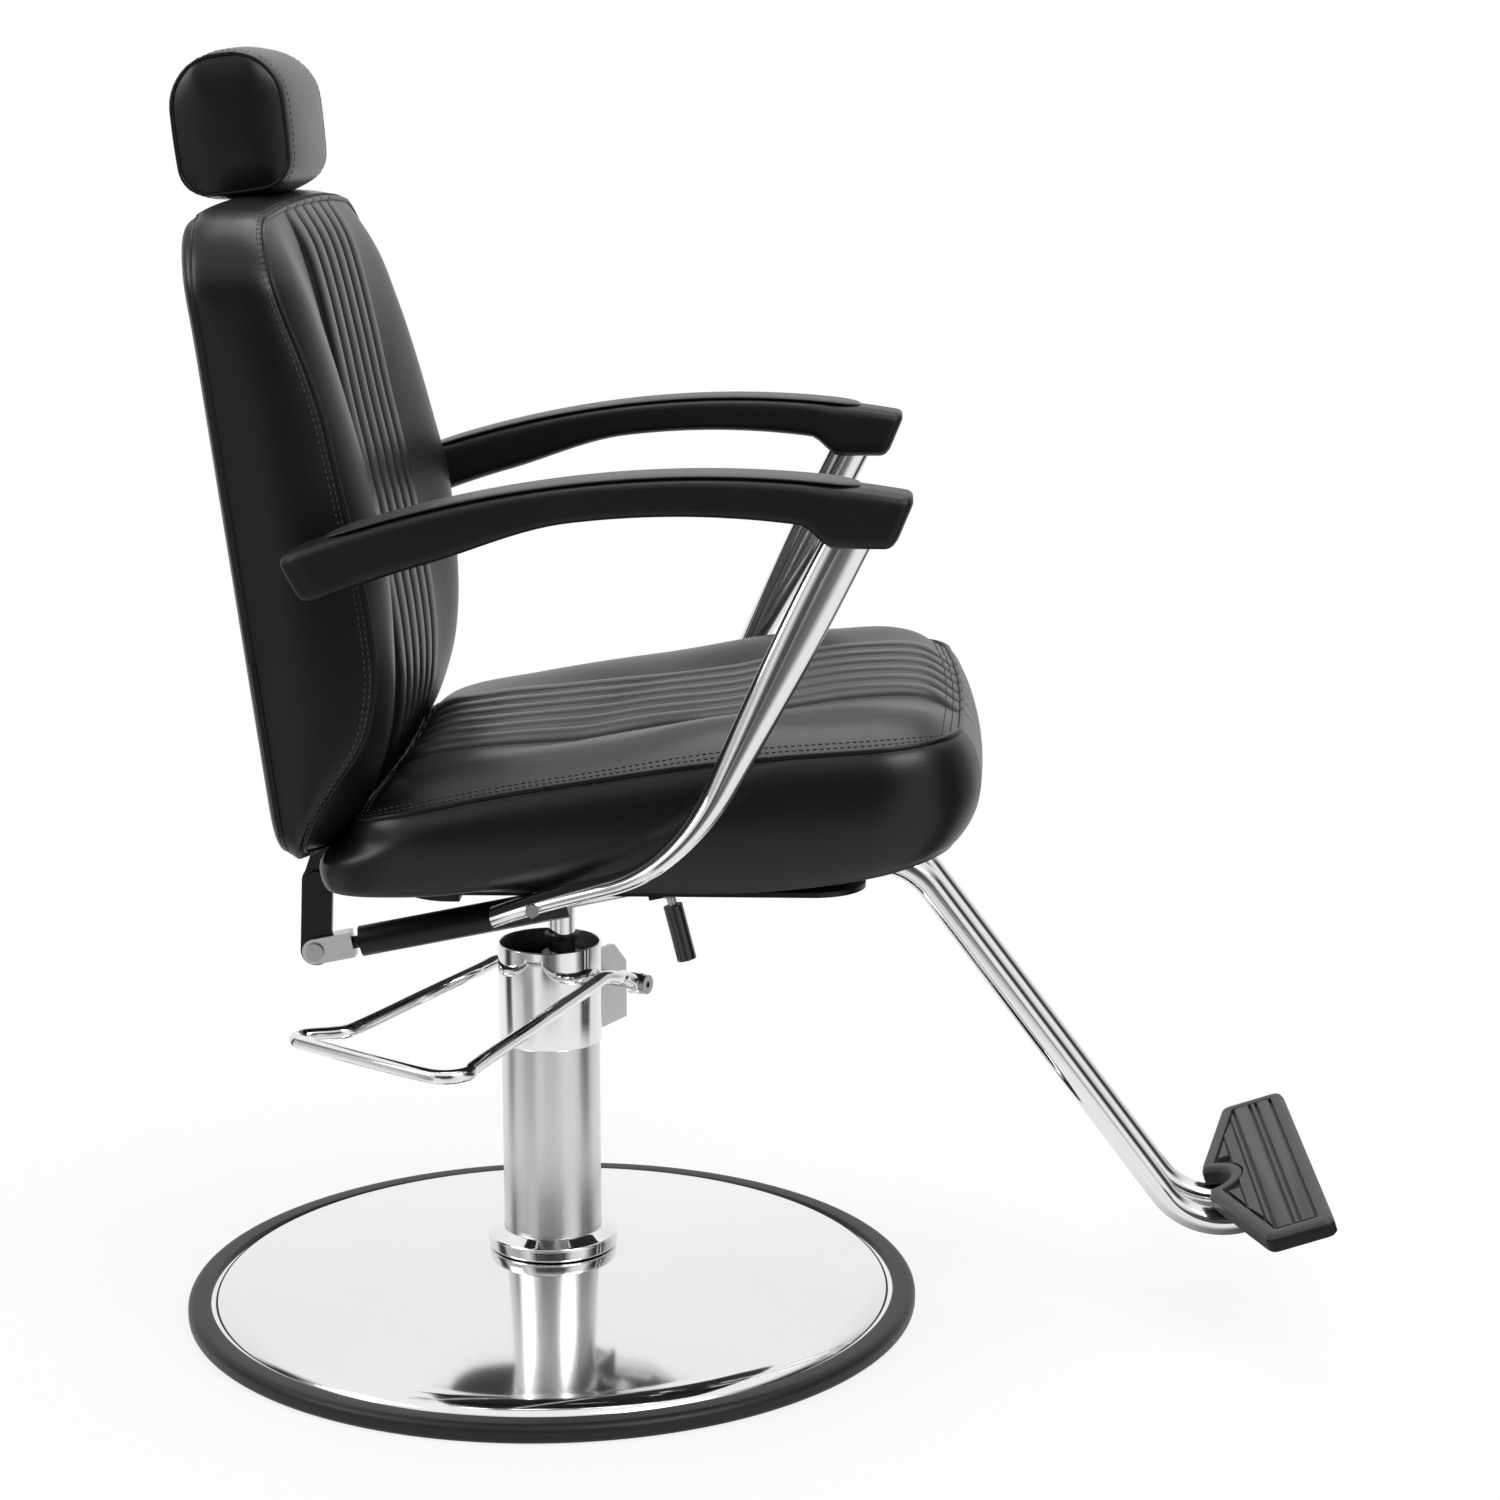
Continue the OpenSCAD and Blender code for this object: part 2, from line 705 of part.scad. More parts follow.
// Path of the arm tube as [y, z]: down from the armrest, a bend, then back under the seat
arm_tube_tilt = 26.6;
arm_tube_head = [-238, arm_top - 33];
arm_tube_end = [28, board_z - arm_tube_t / 2 - seat_fit];
arm_tube_rear_slope = 20.5;
arm_tube_bend = 62;
arm_down = [sin(arm_tube_tilt), -cos(arm_tube_tilt)];
arm_back = [cos(arm_tube_rear_slope), -sin(arm_tube_rear_slope)];
arm_knee = meet(arm_tube_head, arm_down, arm_tube_end, arm_back);
arm_tube_stations = 28;

// Point of the tube's middle line at t, through a smooth bend at the knee
function arm_tube_point(t) = let (
    a = arm_knee - arm_tube_bend * arm_down,
    b = arm_knee + arm_tube_bend * arm_back,
    u = clamp((t - 0.45) / 0.35, 0, 1),
    yz = t < 0.45 ? lerp(arm_tube_head, a, t / 0.45)
        : t > 0.8 ? lerp(b, arm_tube_end, (t - 0.8) / 0.2)
        : lerp(lerp(a, arm_knee, u), lerp(arm_knee, b, u), u)
) [lerp(arm_x, arm_end_x, ease((t - 0.66) / 0.34)), yz[0], yz[1]];

function arm_tube_ring(t) = let (
    step = arm_tube_point(min(t + 0.01, 1)) - arm_tube_point(max(t - 0.01, 0)),
    along = [step[1], step[2]] / norm([step[1], step[2]]),
    turn = ease((t - 0.1) / 0.65),
    in_plane = lerp(arm_tube_w, arm_tube_t, turn) / 2,
    across = lerp(arm_tube_t + 2, arm_tube_w, turn) / 2,
    p = arm_tube_point(t)
) [
    for (k = [0:arm_sides - 1])
    let (a = 360 * k / arm_sides, c = across * signed_power(cos(a), 0.8), s = in_plane * signed_power(sin(a), 0.8))
    [p[0] + c, p[1] + s * along[1], p[2] - s * along[0]]
];

module arm_tube_left() {
    color("silver") on_ram() difference() {
        loft([for (i = [0:arm_tube_stations]) arm_tube_ring(i / arm_tube_stations)]);
        at_arm_bolt() pin_x(arm_bolt_hole, arm_end_x - arm_tube_w, arm_x + arm_tube_w);
    }
}

module arm_tube_right() {
    mirror([1, 0, 0]) arm_tube_left();
}

module armrest_left() {
    play = 0.4;
    color("#1c1c1c") on_ram() difference() {
        translate([arm_x, 0, 0]) loft([for (i = [0:arm_stations]) arm_ring(station(i, arm_stations))]);
        translate([arm_x, arm_tube_head[0], arm_tube_head[1]]) rotate([arm_tube_tilt, 0, 0])
            translate([-arm_tube_t / 2 - 1 - play, -arm_tube_w / 2 - play, -80])
                cube([arm_tube_t + 2 + 2 * play, arm_tube_w + 2 * play, 80]);
    }
}

module armrest_right() {
    mirror([1, 0, 0]) armrest_left();
}

pad_side = 8;
pad_w = arm_w - 2 * pad_side;
pad_t = 4;
pad_back = 128;
pad_front = 232;
pad_stations = 18;
pad_sides = 12;

function pad_ring(t) = let (
    y = lerp(pad_back, -pad_front, t),
    full = lerp(0.4, 1, min(shoulder(t * 12, 0.5), shoulder((1 - t) * 12, 0.5)))
) [
    for (k = [0:pad_sides - 1])
    let (a = 360 * (k + 0.5) / pad_sides)
    [full * pad_w / 2 * signed_power(cos(a), 0.6), y,
     arm_upper(y) + seat_fit + pad_t / 2 * (1 + signed_power(sin(a), 0.6))]
];

module armrest_pad_left() {
    color("#303030") on_ram() translate([arm_x, 0, 0])
        loft([for (i = [0:pad_stations]) pad_ring(station(i, pad_stations))]);
}

module armrest_pad_right() {
    mirror([1, 0, 0]) armrest_pad_left();
}

// Where the tube's middle line is level with the middle of the seat board
arm_bolt_z = seat_z - board_t / 2;
arm_bolt_y = arm_tube_end[0] - (arm_bolt_z - arm_tube_end[1]) / tan(arm_tube_rear_slope);
arm_bolt_t = 0.8 + 0.2 * (1 - (arm_tube_end[0] - arm_bolt_y) / (arm_tube_end - arm_knee - arm_tube_bend * arm_back)[0]);
arm_bolt_x = arm_tube_point(arm_bolt_t)[0];

module at_arm_bolt() {
    translate([0, arm_bolt_y, arm_bolt_z]) children();
}

// Bolts through the tubes into the edges of the seat board, each with its spacer and head
module arm_bolts() {
    inner = arm_bolt_x - arm_tube_w / 2 - arm_bolt_gap;
    outer = arm_bolt_x + arm_tube_w / 2 + arm_bolt_gap;
    color("darkgray") on_ram() mirrored() at_arm_bolt() {
        pin_x(arm_bolt_d, board_w / 2 - arm_bolt_in, outer + 1);
        pin_x(2 * arm_bolt_d, board_w / 2 + seat_fit, inner);
        translate([outer, 0, 0]) rotate([0, 90, 0]) cylinder(d = 2.2 * arm_bolt_d, h = 3.5, $fn = 6);
    }
}

// Footrest

foot_r = foot_tube_d / 2;
foot_bracket_t = 4;
foot_run = [-0.6, -0.8];
foot_run_at = [-290, 373];
foot_rise = [-cos(foot_slope), sin(foot_slope)];
foot_under = foot_t + foot_bracket_t + foot_r + seat_fit;
foot_rise_at = [-foot_reach - foot_under * sin(foot_slope), foot_z - foot_under * cos(foot_slope)];
foot_bend = 60;
foot_top_z = board_z - foot_r - seat_fit;
foot_top_back = 125;
foot_knee_high = meet(foot_run_at, foot_run, [0, foot_top_z], [-1, 0]);
foot_knee_low = meet(foot_run_at, foot_run, foot_rise_at, foot_rise);
foot_end = foot_rise_at + foot_rise * (foot_l - 12);
foot_high_turn = atan2(-foot_run[1], -foot_run[0]);
foot_low_turn = foot_high_turn + foot_slope;

foot_tube_sides = 20;

// Points of an arc of Y and Z from angle a0, through turn degrees
function arc_yz(centre, r, a0, turn, steps) = [
    for (i = [0:steps]) let (a = a0 + turn * i / steps) [0, centre[0] + r * cos(a), centre[1] + r * sin(a)]
];

// Middle line of a footrest tube: under the board, down, round and up under the foot plate
function footrest_path() = let (
    high = foot_bend * tan(foot_high_turn / 2),
    low = foot_bend * tan(foot_low_turn / 2),
    high_in = foot_knee_high + [high, 0],
    low_in = foot_knee_low - low * foot_run
) concat(
    [[0, -foot_top_back, foot_top_z]],
    arc_yz(high_in - [0, foot_bend], foot_bend, 90, foot_high_turn, 8),
    arc_yz(low_in + foot_bend * [foot_run[1], -foot_run[0]], foot_bend, 270 - foot_slope + foot_low_turn, -foot_low_turn, 10),
    [[0, foot_end[0], foot_end[1]]]
);

// Ring around point i of a path that stays in the Y and Z plane
function flat_ring(path, i, r, sides) = let (
    v = path[min(i + 1, len(path) - 1)] - path[max(i - 1, 0)],
    over = [0, -v[2], v[1]] / norm(v)
) [for (k = [0:sides - 1]) path[i] + r * (cos(360 * k / sides) * [1, 0, 0] - sin(360 * k / sides) * over)];

module footrest_tube_left() {
    path = footrest_path();
    color("silver") on_ram() translate([foot_tube_gap / 2, 0, 0])
        loft([for (i = [0:len(path) - 1]) flat_ring(path, i, foot_r, foot_tube_sides)]);
}

module footrest_tube_right() {
    mirror([1, 0, 0]) footrest_tube_left();
}

clamp_z = foot_top_z - foot_r - seat_fit;
clamp_t = 6;
clamp_side = 8;
clamp_front = 225;
clamp_l = 80;

module footrest_clamp() {
    w = foot_tube_gap + foot_tube_d + 2 * clamp_side;
    color("dimgray") on_ram() difference() {
        translate([-w / 2, -clamp_front, clamp_z - clamp_t]) cube([w, clamp_l, clamp_t]);
        for (y = foot_bolt_y) translate([0, y, 0]) cylinder(d = foot_bolt_d + 0.4, h = clamp_z);
    }
}

module footrest_bolts() {
    color("darkgray") on_ram() for (y = foot_bolt_y)
        translate([0, y, clamp_z - clamp_t - seat_fit]) bolt(foot_bolt_d, board_z + board_t - clamp_z + clamp_t - 1);
}

notch_r = 24;
foot_side = 54;
foot_border = 11;

// Outline of the foot plate: wide in front, slanted behind, with a round notch for the tubes
module foot_outline() {
    difference() {
        polygon([
            [-foot_w / 2, -foot_l], [foot_w / 2, -foot_l], [foot_w / 2, foot_side - foot_l],
            [notch_r + 10, 0], [-notch_r - 10, 0], [-foot_w / 2, foot_side - foot_l]
        ]);
        translate([0, 4]) circle(r = notch_r);
    }
}

module footrest_plate() {
    line_w = 2;
    line_depth = 2;
    corner = 8;
    color("#222222") on_foot_plate() difference() {
        translate([0, 0, -foot_t]) linear_extrude(foot_t)
            offset(r = corner, $fn = 32) offset(delta = -corner) foot_outline();
        translate([0, 0, -line_depth]) linear_extrude(foot_t) difference() {
            offset(delta = -foot_border) foot_outline();
            offset(delta = -foot_border - line_w) foot_outline();
        }
        translate([0, 0, -line_depth]) linear_extrude(foot_t) intersection() {
            offset(delta = -foot_border - 3) foot_outline();
            for (share = [0.3, 0.53, 0.76], side = [-3.2, 3.2])
                translate([-foot_w / 2, -foot_l * share + side - line_w / 2]) square([foot_w, line_w]);
        }
    }
}

module footrest_bracket() {
    color("dimgray") on_foot_plate() translate([-60, -foot_l + 12, -foot_t - foot_bracket_t - seat_fit / 2])
        cube([120, foot_l - 46, foot_bracket_t]);
}

// Recline hinge

seat_ear_t = 5;
lever_in = hinge_x - lever_t / 2;
lever_out = hinge_x + lever_t / 2;
ear_out = lever_in - clear;
ear_in = ear_out - seat_ear_t;
eye_r = 12;
hinge_flange_t = 5;
lever_pin_d = 9;

module at_hinge() {
    translate([0, hinge_y, hinge_z]) children();
}

module seat_hinge_left() {
    flange_back = board_back - 6;
    flange_low = board_z - hinge_flange_t;
    color("#262626") on_ram() difference() {
        union() {
            translate([ear_in - 30, 30, flange_low]) cube([seat_ear_t + 30, flange_back - 30, hinge_flange_t]);
            plate_x(ear_in, ear_out) {
                polygon([
                    [40, flange_low + 1], [flange_back, flange_low + 1], [hinge_y, hinge_z + eye_r],
                    [hinge_y, hinge_z - eye_r], [flange_back - 10, flange_low - 14], [40, flange_low - 4]
                ]);
                translate([hinge_y, hinge_z]) circle(r = eye_r);
            }
        }
        at_hinge() pin_x(hinge_pin_d + 0.1, ear_in - 1, ear_out + 1);
    }
}

module seat_hinge_right() {
    mirror([1, 0, 0]) seat_hinge_left();
}

module hinge_pins() {
    head = 4;
    color("silver") on_ram() mirrored() at_hinge() {
        pin_x(hinge_pin_d, ear_in - head, lever_out + clear + head);
        pin_x(hinge_pin_d + 6, lever_out + clear, lever_out + clear + head);
        pin_x(hinge_pin_d + 6, ear_in - seat_fit - head, ear_in - seat_fit);
    }
}

tongue_l = 90;
tongue_t = 22;
tongue_in = 6;

// Upper end of a back lever, which is held in the rear shell
module lever_tongue(grow) {
    translate([-lever_t / 2 - grow, -tongue_in - tongue_t - grow, -20])
        cube([lever_t + 2 * grow, tongue_t + 2 * grow, tongue_l + 20 + grow]);
}

module lever_blank(low) {
    color("#262626") on_ram() plate_x(lever_in, lever_out) {
        translate([hinge_y, hinge_z]) circle(r = eye_r);
        polygon([
            [hinge_y - eye_r, hinge_z], [back_y - tongue_in - tongue_t - 3, back_z - 14],
            [back_y - tongue_in - 2.5, back_z - 14], [hinge_y + eye_r, hinge_z]
        ]);
        if (low) {
            translate(strut_rear) circle(r = eye_r);
            polygon([
                [hinge_y - eye_r, hinge_z], [hinge_y + eye_r, hinge_z],
                [strut_rear[0] + eye_r, strut_rear[1]], [strut_rear[0] - eye_r, strut_rear[1]]
            ]);
        }
    }
    on_back() translate([hinge_x, 0, 0]) lever_tongue(0);
}

module back_lever_left() {
    color("#262626") difference() {
        lever_blank(false);
        on_ram() at_hinge() pin_x(hinge_pin_d + 2 * run_fit, lever_in - 1, lever_out + 1);
    }
}

module back_lever_right() {
    color("#262626") mirror([1, 0, 0]) difference() {
        lever_blank(true);
        on_ram() at_hinge() pin_x(hinge_pin_d + 2 * run_fit, lever_in - 1, lever_out + 1);
        on_ram() translate([0, strut_rear[0], strut_rear[1]])
            pin_x(lever_pin_d + 2 * run_fit, lever_in - 1, lever_out + 1);
    }
}

// Back

shell_h = back_h / cos(back_lean);
guide_d = 16;
guide_l = 185;
post_y = -shell_t / 2;

module at_posts() {
    for (side = [-1, 1]) translate([side * post_gap / 2, post_y, 0]) children();
}

module back_shell() {
    color("#2a2a2c") on_back() difference() {
        rotate([90, 0, 0]) linear_extrude(shell_t) rounded_panel(back_w, shell_h, 40, 60);
        at_posts() translate([0, 0, shell_h - guide_l]) cylinder(d = guide_d + seat_fit, h = guide_l + 1);
        for (side = [-1, 1]) translate([side * hinge_x, 0, 0]) lever_tongue(seat_fit);
    }
}

module headrest_guides() {
    color("gray") on_back() at_posts() translate([0, 0, shell_h - guide_l])
        tube(guide_d / 2, guide_d / 2 - post_d / 2 - run_fit, guide_l);
}

back_stations = 31;
back_corner_low = 40;
back_corner_high = 60;
back_least = 38;

// Thickness of the back at t, from 0 at its lower edge to 1 at its top
function back_full(t) = shoulder(t / 0.36, 1.15) * shoulder((1 - t) / 0.4, 1.4);
function back_thick(t) = lerp(back_least, back_t, back_full(t));

// Half of a section as [across, distance in front of the rear face]
function back_half(t) = let (
    high = t * back_h,
    w = back_w / 2 - max(corner_cut(high, back_corner_low), corner_cut(back_h - high, back_corner_high)),
    full = back_full(t),
    rear = (shell_t + seat_fit) / cos(back_lean),
    front = back_thick(t),
    deep = front - rear,
    relief = back_bolster * full,
    share = w / (back_w / 2)
) concat(
    [[w - 8 * share, rear], [w - 2 * share, rear + deep * 0.12], [w, rear + deep * 0.32],
     [w - 4 * share, rear + deep * 0.5], [w - 15 * share, rear + deep * 0.66],
     [w - 28 * share, rear + deep * 0.88], [w - 48 * share, rear + deep * 0.98],
     [w - 72 * share, rear + deep], [w - 98 * share, rear + deep - relief * 0.35]],
    [for (p = channel_half(channel_band * share, groove * full))
     [p[0], front - relief - groove * full + p[1]]]
);

function back_ring(t) = let (
    half = back_half(t),
    n = len(half),
    z = back_z + t * back_h,
    rear_y = back_y + t * back_h * tan(back_lean),
    front = half[n - 3][1]
) concat(
    [for (p = half) [p[0], rear_y - p[1], z]],
    [[0, rear_y - front, z]],
    [for (i = [n - 1:-1:0]) [-half[i][0], rear_y - half[i][1], z]]
);

module back_cushion() {
    color("#2a2a2c") on_ram() loft([for (i = [back_stations:-1:0]) back_ring(station(i, back_stations))]);
}

// Headrest

head_plate_t = 3;
head_plate_z = shell_h + clear;
head_z = head_plate_z + head_plate_t + seat_fit;
head_y = -24;
head_stations = 18;
head_sides = 28;
head_squeeze = 6;

module headrest_frame() {
    color("gray") on_back() {
        translate([-post_gap / 2 - 20, -shell_t + 3, head_plate_z]) cube([post_gap + 40, shell_t - 6, head_plate_t]);
        at_posts() translate([0, 0, head_plate_z - post_l]) cylinder(d = post_d, h = post_l + 1);
    }
}

// Section of the headrest at t across its width, drawn in towards its side panels
function head_ring(t) = let (
    end = shoulder(min(t, 1 - t) * head_w / 14, 0.5),
    crown = 4 * t * (1 - t),
    deep = head_t / 2 - head_squeeze * (1 - end) - 2 * (1 - crown),
    tall = head_h / 2 - head_squeeze * (1 - end) - 2 * (1 - crown)
) [
    for (k = [0:head_sides - 1])
    let (a = 360 * k / head_sides)
    [lerp(-head_w / 2, head_w / 2, t),
     head_y + deep * signed_power(cos(a), 0.58),
     head_z + head_h / 2 + tall * signed_power(sin(a), 0.58)]
];

module headrest_cushion() {
    color("#2a2a2c") on_back() loft([for (i = [0:head_stations]) head_ring(station(i, head_stations))]);
}

// Locking strut

strut_start = 36;
strut_body = 165;
strut_r = strut_d / 2;
strut_wall = 2;
strut_cap = 8;
clevis_w = 16;
clevis_h = 20;
clevis_l = 30;
stud_d = 10;
strut_piston_l = 15;
strut_piston_z = strut_start + strut_body - strut_cap - 18 - strut_piston_l;
front_eye_r = 9;
front_pin_d = 8;
head_block_w = 18;
head_block_l = 18;
rod_hold = 5;

module strut_cylinder() {
    color("#1a1a1a") on_strut() {
        difference() {
            translate([0, 0, strut_start]) cylinder(r = strut_r, h = strut_body);
            translate([0, 0, strut_start + strut_cap])
                cylinder(r = strut_r - strut_wall, h = strut_body - 2 * strut_cap);
            translate([0, 0, strut_start + strut_cap])
                cylinder(d = strut_rod_d + 2 * run_fit, h = strut_body);
        }
        translate([0, 0, clevis_l - 6]) cylinder(d = stud_d, h = strut_start - clevis_l + 7);
    }
}

// Fork that straddles the lever; its pin is its own piece
module strut_clevis() {
    slot = lever_t + 2 * clear;
    slot_l = eye_r + 3;
    color("lightgray") on_strut() difference() {
        union() {
            translate([-clevis_w / 2, -clevis_h / 2, 0]) cube([clevis_w, clevis_h, clevis_l]);
            pin_x(clevis_h, -clevis_w / 2, clevis_w / 2);
        }
        translate([-slot / 2, -clevis_h, -clevis_h]) cube([slot, 2 * clevis_h, clevis_h + slot_l]);
        pin_x(lever_pin_d + 0.1, -clevis_w, clevis_w);
        translate([0, 0, clevis_l - 7]) cylinder(d = stud_d + 0.1, h = 10);
    }
}

module strut_pin() {
    head = 2.5;
    reach = clevis_w / 2 + seat_fit / 2;
    color("silver") on_strut() {
        pin_x(lever_pin_d, -reach - head, reach + head);
        mirrored() pin_x(lever_pin_d + 5, reach, reach + head);
    }
}

module strut_rod() {
    color("silver") on_strut() {
        translate([0, 0, strut_piston_z]) cylinder(r = strut_r - strut_wall - run_fit, h = strut_piston_l);
        translate([0, 0, strut_piston_z])
            cylinder(d = strut_rod_d, h = strut_length - head_block_l + rod_hold - seat_fit - strut_piston_z);
    }
}

// Block on the rod's end with an eye for the front pin
module release_head() {
    color("#262626") on_strut() translate([0, 0, strut_length]) difference() {
        union() {
            pin_x(2 * front_eye_r, -head_block_w / 2, head_block_w / 2);
            translate([-head_block_w / 2, -front_eye_r, -head_block_l])
                cube([head_block_w, 2 * front_eye_r, head_block_l]);
        }
        pin_x(front_pin_d + 2 * front_pin_play, -head_block_w, head_block_w);
        translate([0, 0, -head_block_l - 1]) cylinder(d = strut_rod_d + seat_fit, h = rod_hold + 1);
    }
}

front_cheek_in = head_block_w / 2 + 3;
front_cheek_t = 4;
front_cheek_out = front_cheek_in + front_cheek_t;

module at_front_pin() {
    on_ram() translate([-hinge_x, -strut_front, strut_front_z]) children();
}

module strut_front_bracket() {
    color("#262626") difference() {
        on_ram() translate([-hinge_x, 0, 0]) mirrored() {
            plate_x(front_cheek_in, front_cheek_out) {
                translate([-strut_front - 12, strut_front_z]) square([24, board_z - strut_front_z]);
                translate([-strut_front, strut_front_z]) circle(d = front_pin_d + 8);
            }
            translate([front_cheek_in, -strut_front - 16, board_z - 3]) cube([12, 32, 3]);
        }
        at_front_pin() pin_x(front_pin_d + 0.1, -front_cheek_out - 1, front_cheek_out + 1);
    }
}

release_hub_w = 8;
release_hub_d = 14;
release_rod_d = 7;
release_lean = 14;
release_drop = 13;
release_near = front_cheek_out + clear;
release_far = release_near + release_hub_w;

// Pin through the eye; its long end carries the release lever
module strut_front_pin() {
    head = 2;
    reach = front_cheek_out + seat_fit;
    color("silver") at_front_pin() {
        pin_x(front_pin_d, -release_far - clear - head, reach + head);
        pin_x(front_pin_d + 4, reach, reach + head);
        pin_x(front_pin_d + 4, -release_far - clear - head, -release_far - clear);
    }
}

// X runs along the release lever's pivot, -Z down the lever
module on_release() {
    at_front_pin() translate([-(release_near + release_far) / 2, 0, 0]) rotate([-release_lean, 0, 0]) children();
}

module release_lever() {
    rod_l = release_drop + grip_l - 4;
    color("silver") on_release() difference() {
        union() {
            pin_x(release_hub_d, -release_hub_w / 2, release_hub_w / 2);
            translate([0, 0, -rod_l]) cylinder(d = release_rod_d, h = rod_l);
        }
        pin_x(front_pin_d + 2 * run_fit, -release_hub_w, release_hub_w);
    }
}

module release_grip() {
    color("#1a1a1a") on_release() translate([0, 0, -release_drop - grip_l]) difference() {
        cylinder(d = grip_d, h = grip_l);
        translate([0, 0, 3.8]) cylinder(d = release_rod_d + seat_fit, h = grip_l);
    }
}

base_ballast();
base_cover();
base_edge_trim();
base_collar();
base_bolts();
pump_tube();
pump_sleeve();
ram_cylinder();
ram_guide();
pump_bracket();
plunger_block();
pedal_bar();
pedal_shaft();
pedal_end_bolts();
pump_plunger();
ram_piston();
piston_seal();
ram();
ram_ring();
seat_mount();
seat_board();
seat_cushion();
arm_tube_right();
arm_tube_left();
armrest_right();
armrest_left();
armrest_pad_right();
armrest_pad_left();
arm_bolts();
footrest_tube_right();
footrest_tube_left();
footrest_clamp();
footrest_bolts();
footrest_bracket();
footrest_plate();
seat_hinge_right();
seat_hinge_left();
hinge_pins();
strut_front_bracket();
strut_front_pin();
back_lever_right();
back_lever_left();
back_shell();
back_cushion();
headrest_guides();
headrest_frame();
headrest_cushion();
strut_cylinder();
strut_clevis();
strut_pin();
strut_rod();
release_head();
release_lever();
release_grip();
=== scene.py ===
# Looks of the reclining styling chair. Metres, +Z up, the sitter faces -Y
import math

import bpy
import numpy as np
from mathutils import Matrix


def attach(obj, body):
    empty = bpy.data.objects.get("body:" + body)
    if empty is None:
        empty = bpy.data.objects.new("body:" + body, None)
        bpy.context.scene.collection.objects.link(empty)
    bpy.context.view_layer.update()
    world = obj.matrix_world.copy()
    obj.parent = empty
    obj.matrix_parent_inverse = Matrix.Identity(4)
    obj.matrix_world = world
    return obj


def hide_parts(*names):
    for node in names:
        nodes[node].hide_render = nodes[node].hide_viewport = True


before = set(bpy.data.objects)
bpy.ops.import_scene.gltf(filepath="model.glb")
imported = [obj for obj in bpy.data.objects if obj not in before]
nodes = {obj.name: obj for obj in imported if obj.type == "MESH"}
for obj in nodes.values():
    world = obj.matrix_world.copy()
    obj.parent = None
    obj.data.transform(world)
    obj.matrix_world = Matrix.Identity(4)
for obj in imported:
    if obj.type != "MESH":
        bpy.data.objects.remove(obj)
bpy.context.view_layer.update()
scene = bpy.context.scene

# Sizes shared with the part's source
RAM_Y = -0.010
SLOPE = math.radians(18)
LEAN = math.radians(7.3)
PUMP_TURN = math.radians(62)
FIT = 0.0002
BOARD_Z = 0.395
BACK_Y, BACK_Z, BACK_TALL = 0.180, 0.424, 0.478
PLATE_Y, PLATE_Z, PLATE_THICK = -0.526, 0.108, 0.015
PLATE_HALF, PLATE_DEEP = 0.160, 0.086
FOOT_TUBE_R = 0.011
SIDES = ((1, "left"), (-1, "right"))


# Curves and small helpers

def ease(t):
    """Smooth step from 0 to 1."""
    t = np.clip(t, 0.0, 1.0)
    return t * t * (3 - 2 * t)


def shoulder(d):
    """Quick rise from 0 that levels off at 1."""
    d = np.clip(d, 0.0, 1.0)
    return 1 - (1 - d) ** 2


def smooth_through(points):
    """Smooth curve through given points of (place, value)."""
    x = np.array([p[0] for p in points])
    y = np.array([p[1] for p in points])
    m = np.gradient(y, x)

    def at(q):
        q = np.clip(np.asarray(q, float), x[0], x[-1])
        i = np.clip(np.searchsorted(x, q) - 1, 0, len(x) - 2)
        h = x[i + 1] - x[i]
        t = (q - x[i]) / h
        return ((2 * t**3 - 3 * t**2 + 1) * y[i] + (t**3 - 2 * t**2 + t) * h * m[i]
                + (3 * t**2 - 2 * t**3) * y[i + 1] + (t**3 - t**2) * h * m[i + 1])
    return at


def corner_cut(d, r):
    """Width lost at distance d from an end whose corners have radius r."""
    d = np.clip(d, 0, r)
    return r - np.sqrt(np.maximum(r * r - (r - d) ** 2, 0))


def crowded(n, share):
    """n + 1 places from 0 to 1, closer together at both ends."""
    t = np.linspace(0, 1, n + 1)
    return (1 - share) * t + share * (1 - np.cos(np.pi * t)) / 2


def arc(cx, cy, r, a0, a1, n):
    """n points on an arc, between two angles in degrees."""
    return [(cx + r * math.cos(a), cy + r * math.sin(a)) for a in np.radians(np.linspace(a0, a1, n))]


# Shader groups

def new_group(name, inputs, outputs):
    group = bpy.data.node_groups.new(name, "ShaderNodeTree")
    for label, kind, value in inputs:
        socket = group.interface.new_socket(label, in_out="INPUT", socket_type=kind)
        if value is not None:
            socket.default_value = value
    for label, kind in outputs:
        group.interface.new_socket(label, in_out="OUTPUT", socket_type=kind)
    return group, group.nodes.new("NodeGroupInput"), group.nodes.new("NodeGroupOutput")


def add(tree, kind, **settings):
    n = tree.nodes.new(kind)
    for key, value in settings.items():
        setattr(n, key, value)
    return n


def wire(tree, source, out, target, into):
    """Joins two nodes by sockets that are told by name or place."""
    tree.links.new(source.outputs[out], target.inputs[into])


def calc(tree, op, a, b):
    n = add(tree, "ShaderNodeMath", operation=op)
    for socket, value in zip(n.inputs, (a, b)):
        if isinstance(value, (int, float)):
            socket.default_value = value
        else:
            tree.links.new(value, socket)
    return n.outputs[0]


def noise(tree, vector, scale, detail=2.0, rough=0.5):
    n = add(tree, "ShaderNodeTexNoise")
    n.inputs["Detail"].default_value = detail
    n.inputs["Roughness"].default_value = rough
    tree.links.new(vector, n.inputs["Vector"])
    if isinstance(scale, (int, float)):
        n.inputs["Scale"].default_value = scale
    else:
        tree.links.new(scale, n.inputs["Scale"])
    return n.outputs["Fac"]


